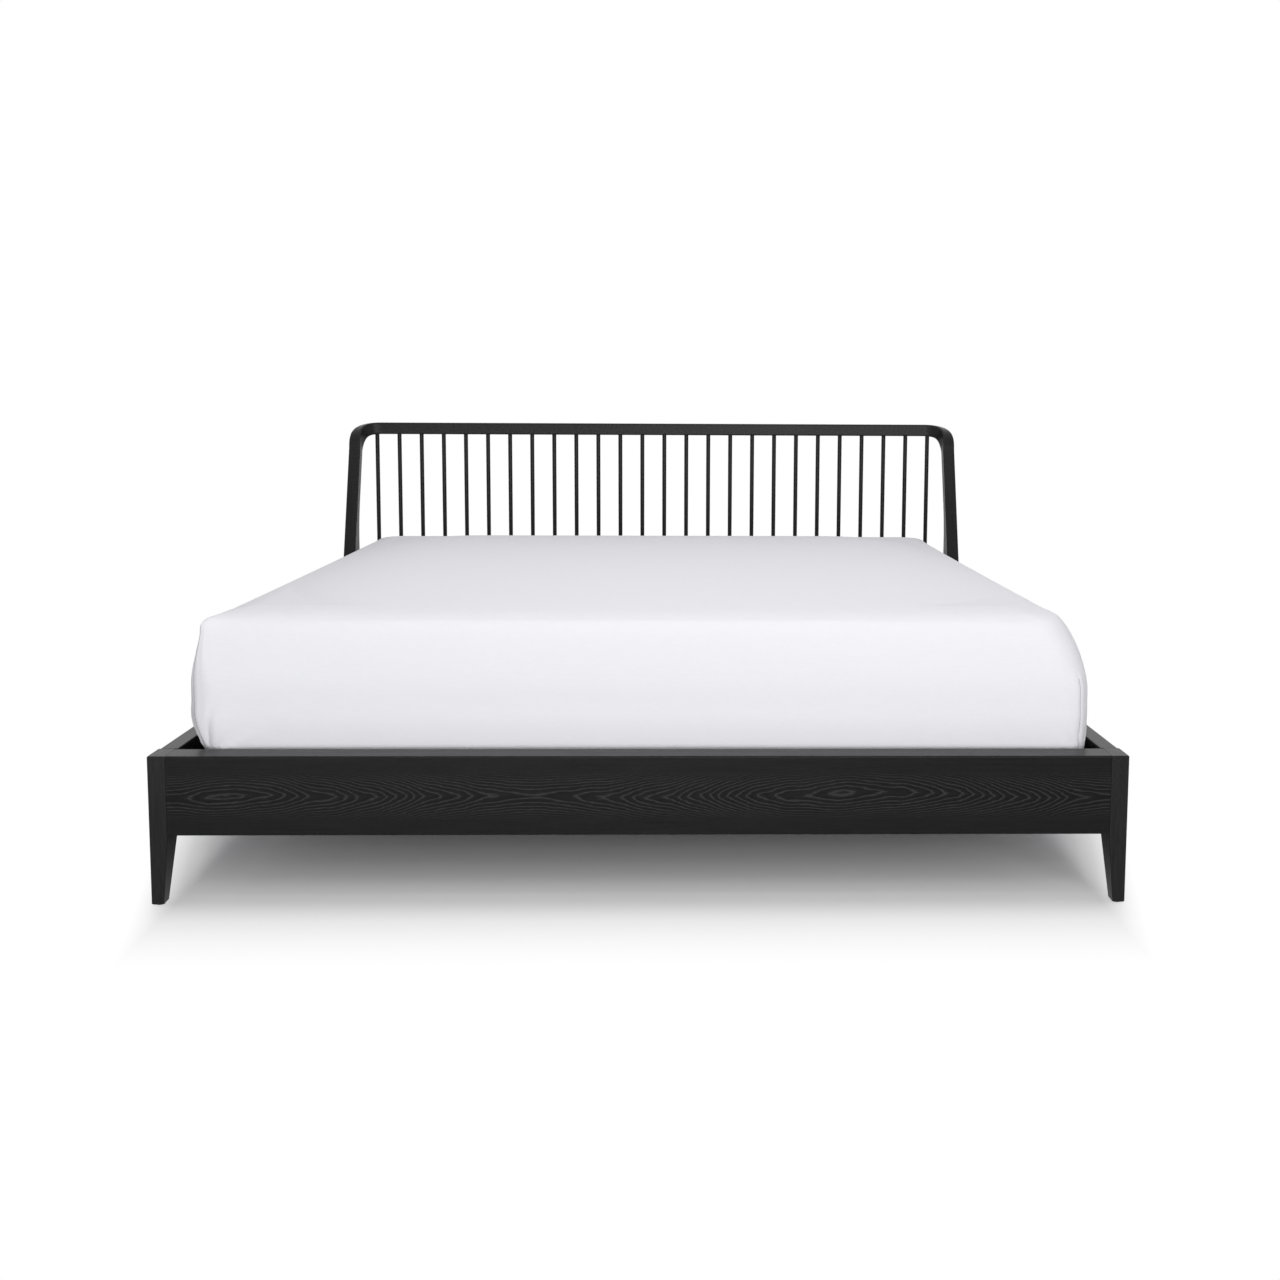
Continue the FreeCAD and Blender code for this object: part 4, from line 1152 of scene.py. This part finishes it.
def whiteness(tree):
    """How much of the floor's shadow is whitened away: none by the bed, all further out."""
    parts = add(tree, "SeparateXYZ", {0: object_place(tree)})
    away = 0.0
    for place, half, fade in zip(parts.outputs, SHADOW_HALF, SHADOW_FADE):
        beyond = maths(tree, "SUBTRACT", maths(tree, "ABSOLUTE", place), half)
        beyond = maths(tree, "DIVIDE", maths(tree, "MAXIMUM", beyond, 0.0), fade)
        away = maths(tree, "ADD", beyond, away)
    node = add(tree, "ValToRGB", {"Fac": away})
    ramp = node.color_ramp
    ramp.interpolation = "CARDINAL"
    while len(ramp.elements) < len(SHADOW_RAMP):
        ramp.elements.new(0.5)
    for stop, (position, share) in zip(ramp.elements, SHADOW_RAMP):
        stop.position = position
        stop.color = (share, share, share, 1)
    return node.outputs[0]


def floor():
    """A pale floor that keeps the bed's shadow under the bed's middle; a painted glow lifts it in part
    towards the ends and renders the floor white further out.
    """
    material, tree, shader = new_material("studio_floor", Roughness=0.9, Specular_IOR_Level=0.0)
    seen = seen_directly(tree)
    tree.links.new(blended(tree, seen, FLOOR_TONE, WHITE), shader.inputs["Base Color"])
    # painted light: this glow whitens the bed's shadow away from the bed, and lifts it in part under the
    # bed's ends
    white = add(tree, "Emission", {"Color": WHITE, "Strength": 1.0})
    share = maths(tree, "MULTIPLY", whiteness(tree), seen)
    mix = add(tree, "MixShader", {0: share, 1: shader.outputs[0], 2: white.outputs[0]})
    tree.links.new(mix.outputs[0], tree.nodes["Material Output"].inputs["Surface"])
    corners = [(x * FLOOR_HALF, y * FLOOR_HALF, 0) for x, y in ((-1, -1), (1, -1), (1, 1), (-1, 1))]
    ground = mesh_piece("studio_floor", corners, [(0, 1, 2, 3)], material)
    ground.location.z = FLOOR_Z


def softbox(name, place, target, size, watts):
    lamp = bpy.data.lights.new(name, "AREA")
    lamp.shape = "RECTANGLE"
    lamp.size, lamp.size_y = size
    lamp.energy = watts
    box = bpy.data.objects.new(name, lamp)
    box.location = place
    box.rotation_euler = (Vector(target) - Vector(place)).to_track_quat("-Z", "Y").to_euler()
    bpy.context.scene.collection.objects.link(box)


noise.seed_set(GRAIN_SEED)
front_rail()
straight_rails()
for end in ("front", "rear"):
    for side in ("left", "right"):
        leg(end, side)
for side in ("left", "right"):
    post(side)
headboard_corners()
spindles()
fitted_sheet(mattress())
carried_over()
camera()
world()
floor()
for values in SOFTBOXES:
    softbox(*values)
bpy.context.scene.view_settings.view_transform = "Standard"
